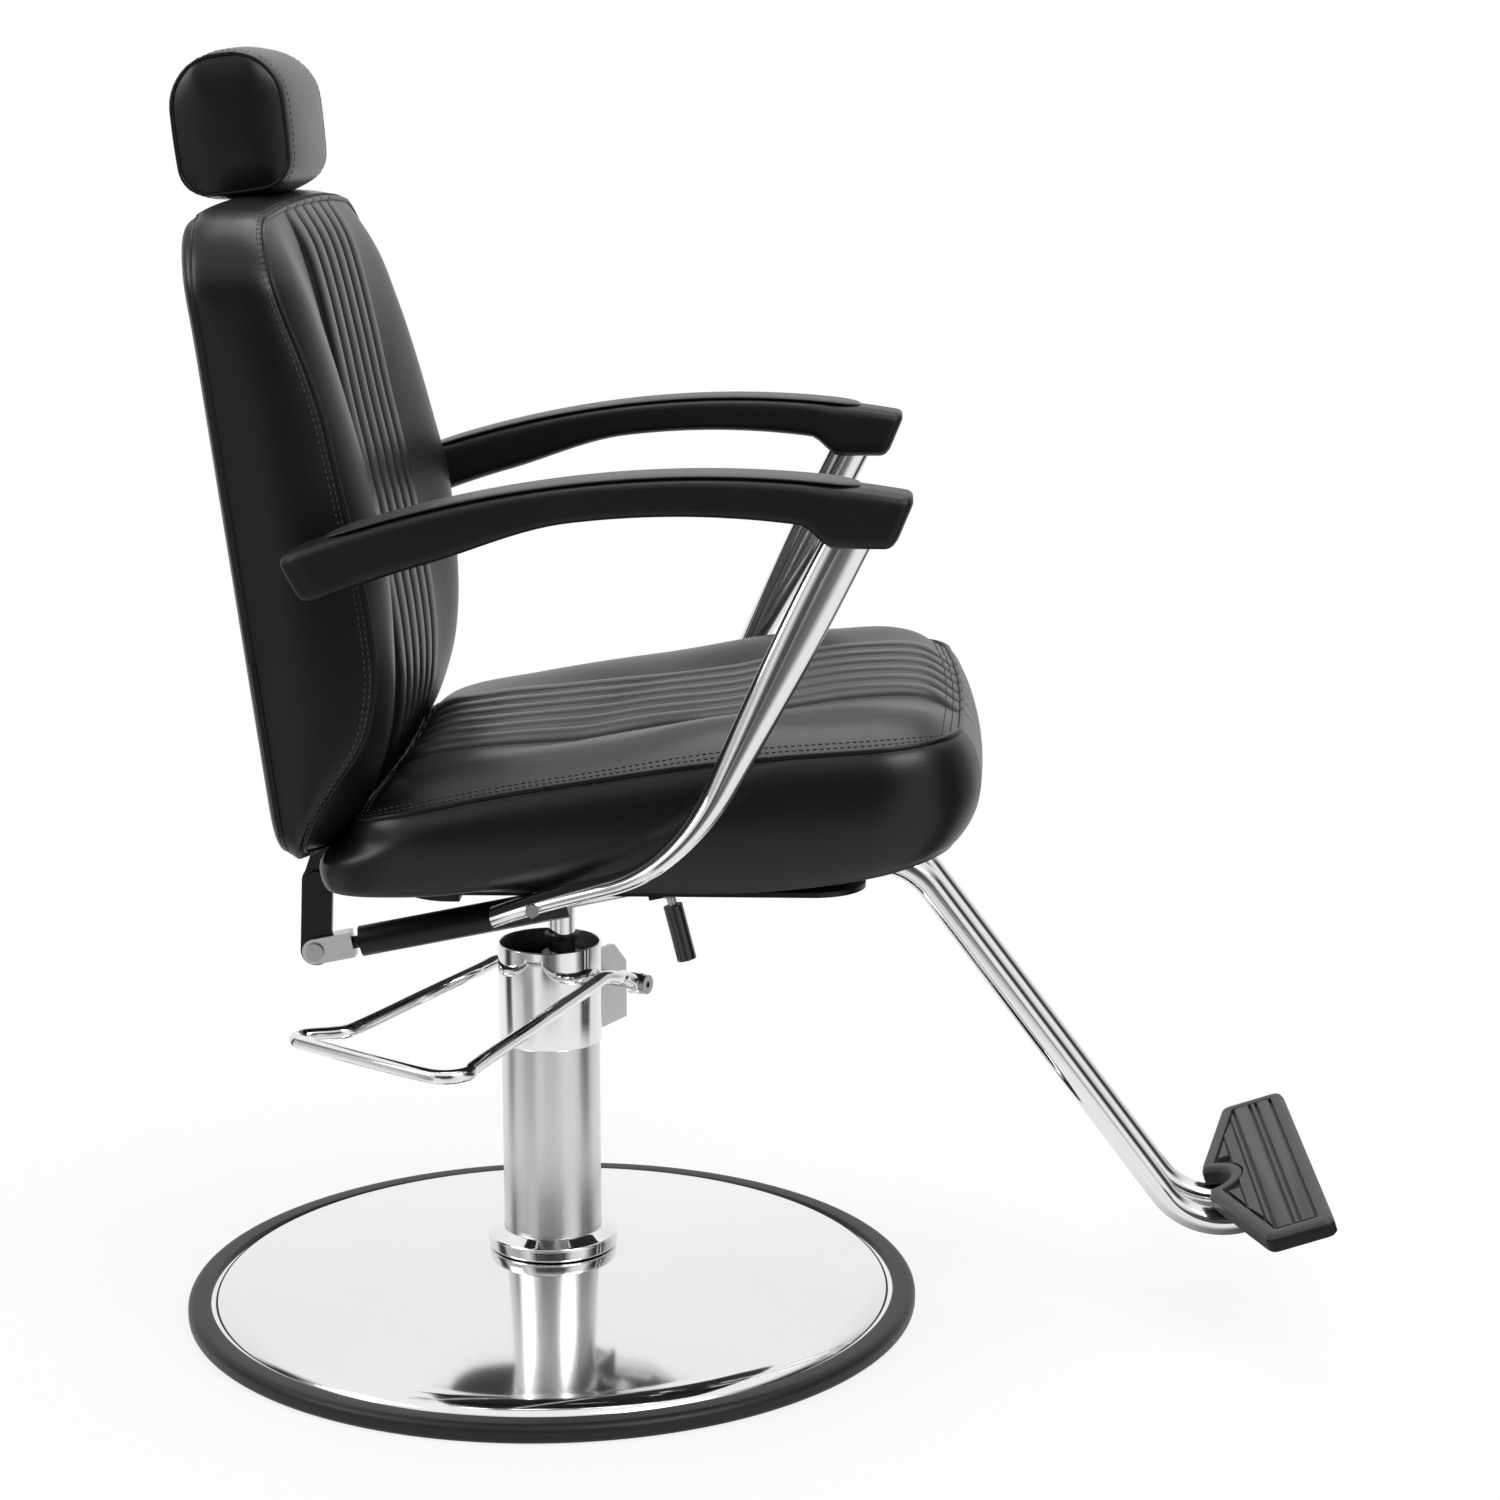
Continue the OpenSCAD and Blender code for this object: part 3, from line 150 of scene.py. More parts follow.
def ramp(tree, value, low, high):
    n = add(tree, "ShaderNodeMapRange")
    n.inputs["To Min"].default_value = low
    n.inputs["To Max"].default_value = high
    tree.links.new(value, n.inputs["Value"])
    return n.outputs["Result"]


def make_hide_grain():
    """Pebbled grain of coated hide: fine cells, finer pores and a slow change of shade."""
    g, i, o = new_group("hide_grain", [("Vector", "NodeSocketVector", None), ("Cells", "NodeSocketFloat", 900.0)],
                        [("Height", "NodeSocketFloat"), ("Shade", "NodeSocketFloat")])
    cells = add(g, "ShaderNodeTexVoronoi", feature="SMOOTH_F1")
    wire(g, i, "Vector", cells, "Vector")
    wire(g, i, "Cells", cells, "Scale")
    pores = noise(g, i.outputs["Vector"], calc(g, "MULTIPLY", i.outputs["Cells"], 2.3), 2.0)
    creases = noise(g, i.outputs["Vector"], 60.0, 3.0)
    high = calc(g, "ADD", calc(g, "MULTIPLY", cells.outputs["Distance"], 0.7), calc(g, "MULTIPLY", pores, 0.3))
    high = calc(g, "ADD", high, calc(g, "MULTIPLY", creases, 0.5))
    g.links.new(high, o.inputs["Height"])
    g.links.new(noise(g, i.outputs["Vector"], 9.0, 3.0), o.inputs["Shade"])
    return g


def make_metal_marks():
    """Faint wipe marks and small scratches on bright metal."""
    g, i, o = new_group("metal_marks", [("Vector", "NodeSocketVector", None), ("Scale", "NodeSocketFloat", 20.0)],
                        [("Smear", "NodeSocketFloat"), ("Height", "NodeSocketFloat")])
    smear = noise(g, i.outputs["Vector"], i.outputs["Scale"], 4.0, 0.6)
    fine = noise(g, i.outputs["Vector"], calc(g, "MULTIPLY", i.outputs["Scale"], 30.0), 2.0)
    g.links.new(smear, o.inputs["Smear"])
    g.links.new(calc(g, "ADD", calc(g, "MULTIPLY", smear, 0.3), calc(g, "MULTIPLY", fine, 0.7)), o.inputs["Height"])
    return g


def make_moulded_skin():
    """Fine spark-eroded texture of moulded plastic and rubber."""
    g, i, o = new_group("moulded_skin", [("Vector", "NodeSocketVector", None), ("Grain", "NodeSocketFloat", 1500.0)],
                        [("Height", "NodeSocketFloat"), ("Shade", "NodeSocketFloat")])
    fine = noise(g, i.outputs["Vector"], i.outputs["Grain"], 3.0, 0.6)
    g.links.new(fine, o.inputs["Height"])
    slow = noise(g, i.outputs["Vector"], 14.0, 3.0)
    g.links.new(calc(g, "ADD", calc(g, "MULTIPLY", slow, 0.7), calc(g, "MULTIPLY", fine, 0.3)), o.inputs["Shade"])
    return g


HIDE_GRAIN = make_hide_grain()
METAL_MARKS = make_metal_marks()
MOULDED_SKIN = make_moulded_skin()


# Materials

def finish_of(name, group, group_value, dark, light, rough, relief, metallic=0.0, spread=(1, 1, 1), coat=0.0,
              specular=0.5):
    """Principled finish whose colour, roughness and relief come from one of the groups above."""
    m = bpy.data.materials.new(name)
    m.use_nodes = True
    t = m.node_tree
    shader = t.nodes["Principled BSDF"]
    place = add(t, "ShaderNodeTexCoord")
    turn = add(t, "ShaderNodeMapping")
    turn.inputs["Scale"].default_value = spread
    wire(t, place, "Object", turn, "Vector")
    skin = add(t, "ShaderNodeGroup", node_tree=group)
    wire(t, turn, "Vector", skin, "Vector")
    skin.inputs[1].default_value = group_value
    shade = skin.outputs["Smear"] if "Smear" in skin.outputs else skin.outputs["Shade"]
    tint = add(t, "ShaderNodeMix", data_type="RGBA")
    tint.inputs["A"].default_value = (*dark, 1)
    tint.inputs["B"].default_value = (*light, 1)
    t.links.new(ramp(t, shade, 0.0, 1.0), tint.inputs["Factor"])
    wire(t, tint, "Result", shader, "Base Color")
    t.links.new(ramp(t, shade, rough[0], rough[1]), shader.inputs["Roughness"])
    bump = add(t, "ShaderNodeBump")
    bump.inputs["Strength"].default_value = relief[0]
    bump.inputs["Distance"].default_value = relief[1]
    wire(t, skin, "Height", bump, "Height")
    wire(t, bump, "Normal", shader, "Normal")
    shader.inputs["Metallic"].default_value = metallic
    shader.inputs["Coat Weight"].default_value = coat
    shader.inputs["Specular IOR Level"].default_value = specular
    return m


def grey(v):
    return (v, v, v * 1.01)


HIDE = finish_of("black_hide", HIDE_GRAIN, 900.0, grey(0.0030), grey(0.0058), (0.28, 0.39), (0.20, 0.0004),
                 specular=0.34)
PIPING = finish_of("piping_hide", HIDE_GRAIN, 1200.0, grey(0.003), grey(0.006), (0.30, 0.40), (0.15, 0.0003),
                   specular=0.26)
THREAD = finish_of("seam_thread", MOULDED_SKIN, 2500.0, grey(0.024), grey(0.050), (0.5, 0.65), (0.3, 0.0002))
CHROME = finish_of("bright_chrome", METAL_MARKS, 12.0, grey(0.80), grey(0.86), (0.035, 0.085), (0.02, 0.0001), 1.0)
BASE_CHROME = finish_of("base_chrome", METAL_MARKS, 7.0, grey(0.80), grey(0.87), (0.05, 0.12), (0.02, 0.0001), 1.0)
BRUSHED = finish_of("brushed_tube", METAL_MARKS, 30.0, grey(0.66), grey(0.76), (0.24, 0.34), (0.05, 0.0001), 1.0,
                    spread=(8, 8, 0.3))
STEEL = finish_of("plain_steel", METAL_MARKS, 40.0, grey(0.38), grey(0.50), (0.25, 0.4), (0.06, 0.0001), 1.0)
ZINC = finish_of("zinc_plate", METAL_MARKS, 60.0, grey(0.55), grey(0.68), (0.3, 0.42), (0.06, 0.0001), 1.0)
BLACK_PAINT = finish_of("black_paint", MOULDED_SKIN, 700.0, grey(0.003), grey(0.006), (0.26, 0.38), (0.08, 0.0002),
                        specular=0.3)
RUBBER = finish_of("edge_rubber", MOULDED_SKIN, 1100.0, grey(0.007), grey(0.014), (0.36, 0.48), (0.2, 0.0003),
                   specular=0.3)
ARM_SKIN = finish_of("arm_skin", MOULDED_SKIN, 1400.0, grey(0.003), grey(0.007), (0.36, 0.48), (0.3, 0.0003),
                     specular=0.26)
# Same plastic as the armrest; the inlay's lighter base colour is painted light, standing in for its lit top face.
PAD_SKIN_PAINTED_LIGHT = finish_of("pad_skin_painted_light", MOULDED_SKIN, 1100.0, grey(0.008), grey(0.020), (0.34, 0.46), (0.35, 0.0004),
                     specular=0.4)
TREAD = finish_of("tread_rubber", MOULDED_SKIN, 900.0, grey(0.030), grey(0.054), (0.40, 0.54), (0.4, 0.0005),
                  specular=0.3)
FOOT_BODY = finish_of("foot_body", MOULDED_SKIN, 900.0, grey(0.004), grey(0.008), (0.38, 0.50), (0.3, 0.0004),
                      specular=0.25)
GRIP = finish_of("grip_plastic", MOULDED_SKIN, 600.0, grey(0.009), grey(0.015), (0.14, 0.24), (0.05, 0.0002), coat=0.3)
IRON = finish_of("cast_plate", MOULDED_SKIN, 400.0, grey(0.05), grey(0.09), (0.5, 0.7), (0.4, 0.0006), 0.6)


# Mesh making

def piece(name, verts, faces, material, sharp=None, body=None):
    mesh = bpy.data.meshes.new(name)
    mesh.from_pydata([tuple(v) for v in verts], [], faces)
    mesh.update()
    mesh.shade_smooth()
    if sharp:
        mesh.set_sharp_from_angle(angle=math.radians(sharp))
    obj = bpy.data.objects.new(name, mesh)
    scene.collection.objects.link(obj)
    mesh.materials.append(material)
    if body:
        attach(obj, body)
    return obj


def plain_mesh(obj):
    """Turns the object's evaluated result into its own mesh and drops the modifiers."""
    bpy.context.view_layer.update()
    graph = bpy.context.evaluated_depsgraph_get()
    mesh = bpy.data.meshes.new_from_object(obj.evaluated_get(graph), depsgraph=graph)
    obj.modifiers.clear()
    obj.data = mesh
    return obj


def rings_to_faces(rings, n):
    """Faces of a row of rings of n points, closed at both ends."""
    faces = [(i * n + j, i * n + (j + 1) % n, (i + 1) * n + (j + 1) % n, (i + 1) * n + j)
             for i in range(rings - 1) for j in range(n)]
    faces.append(tuple(range(n - 1, -1, -1)))
    faces.append(tuple((rings - 1) * n + j for j in range(n)))
    return faces


def ring_faces(rings, n):
    """Faces of a closed loop of rings of n points."""
    return [(i * n + j, i * n + (j + 1) % n, (i + 1) % rings * n + (j + 1) % n, (i + 1) % rings * n + j)
            for i in range(rings) for j in range(n)]


def lathe(name, profile, material, segments=160, centre=(0, 0), sharp=40, body="stand"):
    """Closed turned piece: the profile is a loop of radius and height."""
    angle = np.linspace(0, 2 * np.pi, segments, endpoint=False)
    n = len(profile)
    verts = [(centre[0] + r * math.cos(a), centre[1] + r * math.sin(a), z) for a in angle for r, z in profile]
    faces = [(i * n + j, ((i + 1) % segments) * n + j, ((i + 1) % segments) * n + (j + 1) % n, i * n + (j + 1) % n)
             for i in range(segments) for j in range(n)]
    return piece(name, verts, faces, material, sharp, body)


def facing_out(obj):
    """Turns a closed mesh's faces outwards, for one whose winding came from a mirror."""
    mesh = obj.data
    tri = np.array([(p.vertices[0], p.vertices[k], p.vertices[k + 1])
                    for p in mesh.polygons for k in range(1, len(p.vertices) - 1)])
    co = np.array([v.co for v in mesh.vertices])
    a, b, c = co[tri[:, 0]], co[tri[:, 1]], co[tri[:, 2]]
    if np.einsum("ij,ij->i", a, np.cross(b, c)).sum() < 0:
        mesh.flip_normals()
    return obj


def stands_for(obj, slot, *solids):
    """Hides the solids that a piece takes the place of. Its material slot is not used."""
    if solids:
        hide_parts(*solids)
    return obj


# Geometry node trees for what follows a path

def new_tree(name, inputs):
    tree = bpy.data.node_groups.new(name, "GeometryNodeTree")
    tree.interface.new_socket("Geometry", in_out="INPUT", socket_type="NodeSocketGeometry")
    for label, kind in inputs:
        tree.interface.new_socket(label, in_out="INPUT", socket_type=kind)
    tree.interface.new_socket("Geometry", in_out="OUTPUT", socket_type="NodeSocketGeometry")
    return tree, tree.nodes.new("NodeGroupInput"), tree.nodes.new("NodeGroupOutput")


def close_tree(tree, geometry, start, end):
    smooth = add(tree, "GeometryNodeSetShadeSmooth")
    real = add(tree, "GeometryNodeRealizeInstances")
    paint = add(tree, "GeometryNodeSetMaterial")
    tree.links.new(geometry, smooth.inputs["Geometry"])
    wire(tree, smooth, "Geometry", real, "Geometry")
    wire(tree, real, "Geometry", paint, "Geometry")
    wire(tree, start, "Material", paint, "Material")
    wire(tree, paint, "Geometry", end, "Geometry")
    return tree


def make_bar_tree():
    """Round bar along each path."""
    tree, start, end = new_tree("bar_along_path", [("Radius", "NodeSocketFloat"), ("Sides", "NodeSocketInt"),
                                                   ("Material", "NodeSocketMaterial")])
    curve = add(tree, "GeometryNodeMeshToCurve")
    ring = add(tree, "GeometryNodeCurvePrimitiveCircle")
    skin = add(tree, "GeometryNodeCurveToMesh")
    skin.inputs["Fill Caps"].default_value = True
    wire(tree, start, "Geometry", curve, "Mesh")
    wire(tree, start, "Sides", ring, "Resolution")
    wire(tree, start, "Radius", ring, "Radius")
    wire(tree, curve, "Curve", skin, "Curve")
    wire(tree, ring, "Curve", skin, "Profile Curve")
    return close_tree(tree, skin.outputs["Mesh"], start, end)


def make_stitch_tree():
    """Row of thread beads along each path."""
    tree, start, end = new_tree("stitches_along_path", [("Spacing", "NodeSocketFloat"), ("Length", "NodeSocketFloat"),
                                                        ("Thickness", "NodeSocketFloat"),
                                                        ("Material", "NodeSocketMaterial")])
    curve = add(tree, "GeometryNodeMeshToCurve")
    spread = add(tree, "GeometryNodeResampleCurve", mode="LENGTH")
    bead = add(tree, "GeometryNodeMeshUVSphere")
    bead.inputs["Segments"].default_value = 6
    bead.inputs["Rings"].default_value = 4
    bead.inputs["Radius"].default_value = 0.5
    heading = add(tree, "GeometryNodeInputTangent")
    turn = add(tree, "FunctionNodeAlignRotationToVector", axis="X")
    size = add(tree, "ShaderNodeCombineXYZ")
    lay = add(tree, "GeometryNodeInstanceOnPoints")
    wire(tree, start, "Geometry", curve, "Mesh")
    wire(tree, curve, "Curve", spread, "Curve")
    wire(tree, start, "Spacing", spread, "Length")
    wire(tree, heading, "Tangent", turn, "Vector")
    wire(tree, start, "Length", size, "X")
    wire(tree, start, "Thickness", size, "Y")
    wire(tree, start, "Thickness", size, "Z")
    wire(tree, spread, "Curve", lay, "Points")
    wire(tree, bead, "Mesh", lay, "Instance")
    wire(tree, turn, "Rotation", lay, "Rotation")
    wire(tree, size, "Vector", lay, "Scale")
    return close_tree(tree, lay.outputs["Instances"], start, end)


BAR_TREE = make_bar_tree()
STITCH_TREE = make_stitch_tree()
FINE_STITCH = {"Spacing": 0.0050, "Length": 0.0034, "Thickness": 0.0008}


def along(name, tree, paths, body, slot, solids=(), **values):
    """Runs a tree on one or more paths, each (points, closed), and keeps the result as a plain mesh."""
    verts, edges = [], []
    for points, closed in paths:
        first = len(verts)
        verts += [tuple(p) for p in points]
        edges += [(first + k, first + k + 1) for k in range(len(points) - 1)]
        if closed:
            edges.append((first + len(points) - 1, first))
    mesh = bpy.data.meshes.new(name)
    mesh.from_pydata(verts, edges, [])
    obj = bpy.data.objects.new(name, mesh)
    scene.collection.objects.link(obj)
    mod = obj.modifiers.new("path", "NODES")
    mod.node_group = tree
    for item in tree.interface.items_tree:
        if item.in_out == "INPUT" and item.name in values:
            mod[item.identifier] = values[item.name]
    plain_mesh(obj)
    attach(obj, body)
    return stands_for(obj, slot, *solids)


# Base and pump

def cover_top(r):
    """Height of the dished cover at radius r."""
    inner, outer, high, low = 0.040, 0.260, 0.048, 0.021
    return high + (low - high) * ((r - inner) / (outer - inner)) ** 1.35


def dark_inside(obj, sides, first, last):
    """Iron on the inner wall of a turned tube, told by its faces' places in the profile."""
    obj.data.materials.append(IRON)
    for face in obj.data.polygons:
        face.material_index = int(first <= face.index % sides <= last)


def base_and_pump():
    """Turned pieces: the base's cover, edge and collar, the column, the sleeve and the ram."""
    outer = [(r, cover_top(r)) for r in np.linspace(0.0402, 0.2585, 48)]
    roll = [(0.252 + 0.0262 * math.sin(a), 0.0095 + 0.0123 * math.cos(a))
            for a in np.radians(np.arange(21, 79, 3))]
    lip = [(0.2905, 0.012), (0.2905, 0.0095), (0.277, 0.0095)]
    inner = [(r, cover_top(r) - 0.003) for r in np.linspace(0.257, 0.0402, 20)]
    cover = lathe("base_cover_bright", outer + roll + lip + inner, BASE_CHROME, 256, sharp=55)
    stands_for(cover, "base_chrome", "base_cover")

    trim = (arc(0.2955, 0.0045, 0.0045, -90, 0, 8) + arc(0.2935, 0.0085, 0.0065, 0, 90, 10)
            + arc(0.2830, 0.0132, 0.0018, 90, 200, 6) + [(0.2812, 0.0122), (0.2921, 0.0122), (0.2921, 0.003)]
            + [(0.272, 0.003), (0.272, 0.0)])
    edge = lathe("base_trim_moulded", trim, RUBBER, 256, sharp=50)
    stands_for(edge, "trim_rubber", "base_edge_trim")

    collar = ([(0.0402, 0.0483), (0.0505, 0.0483)] + arc(0.0505, 0.0508, 0.0025, -90, 0, 6)
              + arc(0.0500, 0.0575, 0.0030, 0, 70, 6) + [(0.0445, 0.0645)] + arc(0.0425, 0.0640, 0.0014, 60, 110, 4)
              + [(0.0402, 0.0655)])
    ring = lathe("base_collar_turned", collar, CHROME, 128, sharp=50)
    stands_for(ring, "chrome", "base_collar")

    tube = [(0.0400, 0.0172), (0.0400, 0.2940), (0.0370, 0.2940), (0.0370, 0.0172)]
    column = lathe("pump_tube_brushed", tube, BRUSHED, 128)
    dark_inside(column, len(tube), 2, 2)
    foot = [(0.0600, 0.0092), (0.0600, 0.0170), (0.0371, 0.0170), (0.0371, 0.0092)]
    flange = lathe("pump_tube_flange", foot, STEEL, 96)
    stands_for(column, "brushed", "pump_tube")
    stands_for(flange, "brushed", "pump_tube")

    sleeve = ([(0.0401, 0.2242)] + arc(0.0413, 0.2247, 0.0007, 250, 360, 4) + arc(0.0412, 0.3053, 0.0008, 0, 180, 8)
              + [(0.0401, 0.3050)])
    shell = lathe("pump_sleeve_bright", sleeve, CHROME, 160, sharp=60)
    dark_inside(shell, len(sleeve), len(sleeve) - 3, len(sleeve) - 1)
    stands_for(shell, "chrome", "pump_sleeve")

    middle = 1e-5
    rod = [(middle, 0.0521), (0.0110, 0.0521), (0.0110, 0.3868), (middle, 0.3868)]
    stands_for(lathe("ram_bright", rod, CHROME, 64, (0, RAM_Y), body="seat"), "chrome", "ram")


# Bent bars and tubes

def meet(p, d, q, e):
    """Where the line from p along d crosses the line from q along e."""
    k = ((q[0] - p[0]) * e[1] - (q[1] - p[1]) * e[0]) / (d[0] * e[1] - d[1] * e[0])
    return np.array(p) + np.array(d) * k


def footrest_tubes():
    """Two tubes that come forward under the seat, slant down, and turn up under the foot plate."""
    run = np.array([-0.6, -0.8])
    run_at = np.array([-0.290, 0.373])
    rise = np.array([-math.cos(SLOPE), math.sin(SLOPE)])
    bracket = 0.004
    under = PLATE_THICK + bracket + FOOT_TUBE_R + FIT
    rise_at = np.array([PLATE_Y - under * math.sin(SLOPE), PLATE_Z - under * math.cos(SLOPE)])
    top_z = BOARD_Z - FOOT_TUBE_R - FIT
    bend = 0.060
    high_turn = math.atan2(0.8, 0.6)
    low_turn = high_turn + SLOPE
    knee_high = meet(run_at, run, (0, top_z), (-1, 0))
    knee_low = meet(run_at, run, rise_at, rise)
    high_in = knee_high + [bend * math.tan(high_turn / 2), 0]
    low_in = knee_low - bend * math.tan(low_turn / 2) * run
    end = rise_at + rise * 0.074
    deg = math.degrees
    high_centre = high_in - [0, bend]
    low_centre = low_in + bend * np.array([run[1], -run[0]])
    path = ([(-0.125, top_z)] + arc(*high_centre, bend, 90, 90 + deg(high_turn), 24)
            + arc(*low_centre, bend, 270 - deg(SLOPE) + deg(low_turn), 270 - deg(SLOPE), 32) + [tuple(end)])
    from_middle = 0.030
    for side, label in SIDES[::-1]:
        points = [(side * from_middle, y + RAM_Y, z) for y, z in path]
        along("footrest_tube_%s_bright" % label, BAR_TREE, [(points, False)], "seat", "chrome",
              ["footrest_tube_" + label], Radius=FOOT_TUBE_R, Sides=40, Material=CHROME)


def through(points, per=8):
    """Smooth path through given points."""
    p = np.array([points[0]] + list(points) + [points[-1]], float)
    p[0] = 2 * p[1] - p[2]
    p[-1] = 2 * p[-2] - p[-3]
    out = []
    for a, b, c, d in zip(p[:-3], p[1:-2], p[2:-1], p[3:]):
        k = np.sqrt([np.linalg.norm(b - a), np.linalg.norm(c - b), np.linalg.norm(d - c)]) + 1e-9
        m = (c - b) / k[1] - (c - a) / (k[0] + k[1]) + (b - a) / k[0]
        n = (d - c) / k[2] - (d - b) / (k[1] + k[2]) + (c - b) / k[1]
        m, n = m * k[1], n * k[1]
        for t in np.linspace(0, 1, per, endpoint=False):
            out.append((2 * t**3 - 3 * t**2 + 1) * b + (t**3 - 2 * t**2 + t) * m
                       + (3 * t**2 - 2 * t**3) * c + (t**3 - t**2) * n)
    return out + [p[-2]]


def on_pump(p):
    """Place on the pump, turned about the column."""
    c, s = math.cos(PUMP_TURN), math.sin(PUMP_TURN)
    return (p[0] * c - p[1] * s, p[0] * s + p[1] * c, p[2])


def pedal():
    """One bent bar: a splayed near arm, the closing bar, and a far arm that flares out at its end."""
    level = 0.273
    start = [(0.046, -0.0525, 0.266), (0.045, -0.038, 0.273), (0.052, -0.022, 0.277), (0.052, 0.0, 0.282)]
    near = start + [(0.054, 0.020, 0.2805), (0.0695, 0.126, 0.2773), (0.085, 0.233, 0.274)]
    near += [(x, y, level) for x, y in arc(0.067, 0.241, 0.020, 0, 90, 5)]
    far = start + [(0.052, 0.020, 0.281), (0.0525, 0.106, 0.2775), (0.053, 0.192, 0.274), (0.055, 0.202, 0.2735),
                   (0.062, 0.210, level)]
    far += [(x, y, level) for x, y in arc(0.067, 0.230, 0.011, -45, 90, 7)]
    line = through(far + [(-x, y, z) for x, y, z in near[::-1]])
    along("pedal_bar_bright", BAR_TREE, [([on_pump(p) for p in line], False)], "pedal", "chrome", ["pedal_bar"],
          Radius=0.0055, Sides=28, Material=CHROME)
    hub_x, axis_y, axis_z, steps = 0.046, -0.060, 0.262, 48
    profile = [(0.0051, -0.0055), (0.0082, -0.0055), (0.0090, -0.0047), (0.0090, 0.0047), (0.0082, 0.0055),
               (0.0051, 0.0055)]
    faces = ring_faces(steps, len(profile))
    for side, label in ((-1, "near"), (1, "far")):
        verts = [on_pump((side * hub_x + h, axis_y + r * math.cos(a), axis_z + r * math.sin(a)))
                 for a in np.linspace(0, 2 * np.pi, steps, endpoint=False) for r, h in profile]
        hub = piece("pedal_hub_" + label, verts, faces, CHROME, 40, "pedal")
        stands_for(facing_out(hub), "chrome", "pedal_bar")


# Arms

ARM_X = 0.285
ARM_CROWN = 0.721


def arm_upper(y):
    """Height of the armrest's top along its length."""
    return ARM_CROWN - 0.612 * (y + 0.135) ** 2


def arm_lower(y):
    """Height of its underside, with a boss over the tube in front and a fuller rear."""
    boss_y = -0.196
    return (ARM_CROWN - 0.028 - 0.794 * (np.maximum(y, boss_y) + 0.115) ** 2
            - 0.017 * ease((boss_y - y) / 0.026) - 0.009 * ease((y + 0.035) / 0.100))


def power(v, p):
    """Signed power, for sections between an ellipse and a box."""
    return np.sign(v) * np.abs(v) ** p


def arms():
    """Armrests, each with a soft inlay in its top."""
    stations, around = 72, 56
    rear_y, front_y, length, half_wide = 0.160, -0.271, 0.448, 0.027
    t = crowded(stations, 0.75)
    angle = 2 * np.pi * (np.arange(around) + 0.5) / around
    verts = []
    for q in t:
        y = rear_y + (front_y - rear_y) * q
        full = min(math.sqrt(shoulder(q * length / 0.016)), math.sqrt(shoulder((1 - q) * length / 0.007)))
        wide = (0.66 + 0.34 * full) * half_wide
        thick = (arm_upper(y) - arm_lower(y)) / 2
        up = (0.72 + 0.28 * full) * power(np.sin(angle), 0.38)
        y_up = y + (0.45 - 0.85 * q) * thick * up
        z = arm_lower(y_up) + (arm_upper(y_up) - arm_lower(y_up)) * (1 + up) / 2
        x = wide * power(np.cos(angle), 0.42)
        verts += list(zip(x, y_up + RAM_Y, z))
    verts = np.array(verts)
    faces = rings_to_faces(len(t), around)

    pad_rear, pad_front, pad_half, pad_rise, sunk = 0.136, -0.240, 0.0226, 0.0038, 0.0012
    p_t = crowded(56, 0.8)
    p_n = 40
    p_angle = 2 * np.pi * (np.arange(p_n) + 0.5) / p_n
    pad = []
    for q in p_t:
        y = pad_rear + (pad_front - pad_rear) * q
        full = 0.35 + 0.65 * min(math.sqrt(shoulder(q * 16)), math.sqrt(shoulder((1 - q) * 16)))
        x = full * pad_half * power(np.cos(p_angle), 0.45)
        lift = pad_rise * (0.3 + 0.7 * full) * (1 + power(np.sin(p_angle), 0.8)) / 2 - sunk
        pad += list(zip(x, np.full(p_n, y + RAM_Y), arm_upper(y) + FIT + lift))
    pad = np.array(pad)
    pad_faces = rings_to_faces(len(p_t), p_n)

    for side, label in SIDES:
        turn, shift = (side, 1, 1), (side * ARM_X, 0, 0)
        rest = piece("armrest_%s_moulded" % label, verts * turn + shift, faces, ARM_SKIN, 50, "seat")
        stands_for(facing_out(rest), "arm_plastic", "armrest_" + label)
        # Painted light: the inlay's material is lighter than the arm's to stand in for the lit top.
        top = piece("armrest_pad_%s_soft" % label, pad * turn + shift, pad_faces, PAD_SKIN_PAINTED_LIGHT, 60, "seat")
        stands_for(facing_out(top), "arm_pad", "armrest_pad_" + label)


def arm_tubes():
    """Flat oval tubes that turn as they bend, from the armrest's front to under the seat."""
    steep, shallow = math.radians(26.6), math.radians(20.5)
    down = np.array([math.sin(steep), -math.cos(steep)])
    back = np.array([math.cos(shallow), -math.sin(shallow)])
    narrow, broad, top_wide, low_x, bend = 0.014, 0.033, 0.016, 0.238, 0.062
    head = np.array([-0.238, 0.688])
    end = np.array([0.028, BOARD_Z - narrow / 2 - FIT])
    knee = meet(head, down, end, back)
    a, b = knee - bend * down, knee + bend * back

    def point(t):
        u = min(max((t - 0.45) / 0.35, 0), 1)
        if t < 0.45:
            yz = head + (a - head) * t / 0.45
        elif t > 0.8:
            yz = b + (end - b) * (t - 0.8) / 0.2
        else:
            yz = (a + (knee - a) * u) * (1 - u) + (knee + (b - knee) * u) * u
        return ARM_X + (low_x - ARM_X) * float(ease((t - 0.66) / 0.34)), yz

    rings, around = 120, 48
    verts = []
    angle = 2 * np.pi * np.arange(around) / around
    for t in np.linspace(0, 1, rings):
        x, yz = point(t)
        step = point(min(t + 0.012, 1))[1] - point(max(t - 0.012, 0))[1]
        step = step / np.linalg.norm(step)
        turn = float(ease((t - 0.1) / 0.65))
        flat = (broad + (narrow - broad) * turn) / 2
        wide = (top_wide + (broad - top_wide) * turn) / 2
        c, s = wide * np.cos(angle), flat * np.sin(angle)
        verts += list(zip(x + c, yz[0] + s * step[1] + RAM_Y, yz[1] - s * step[0]))
    verts = np.array(verts)
    faces = rings_to_faces(rings, around)
    for side, label in SIDES:
        tube = piece("arm_tube_%s_bright" % label, verts * (side, 1, 1), faces, CHROME, 50, "seat")
        stands_for(facing_out(tube), "chrome", "arm_tube_" + label)


# Cushions: two sewn panels joined by a side band

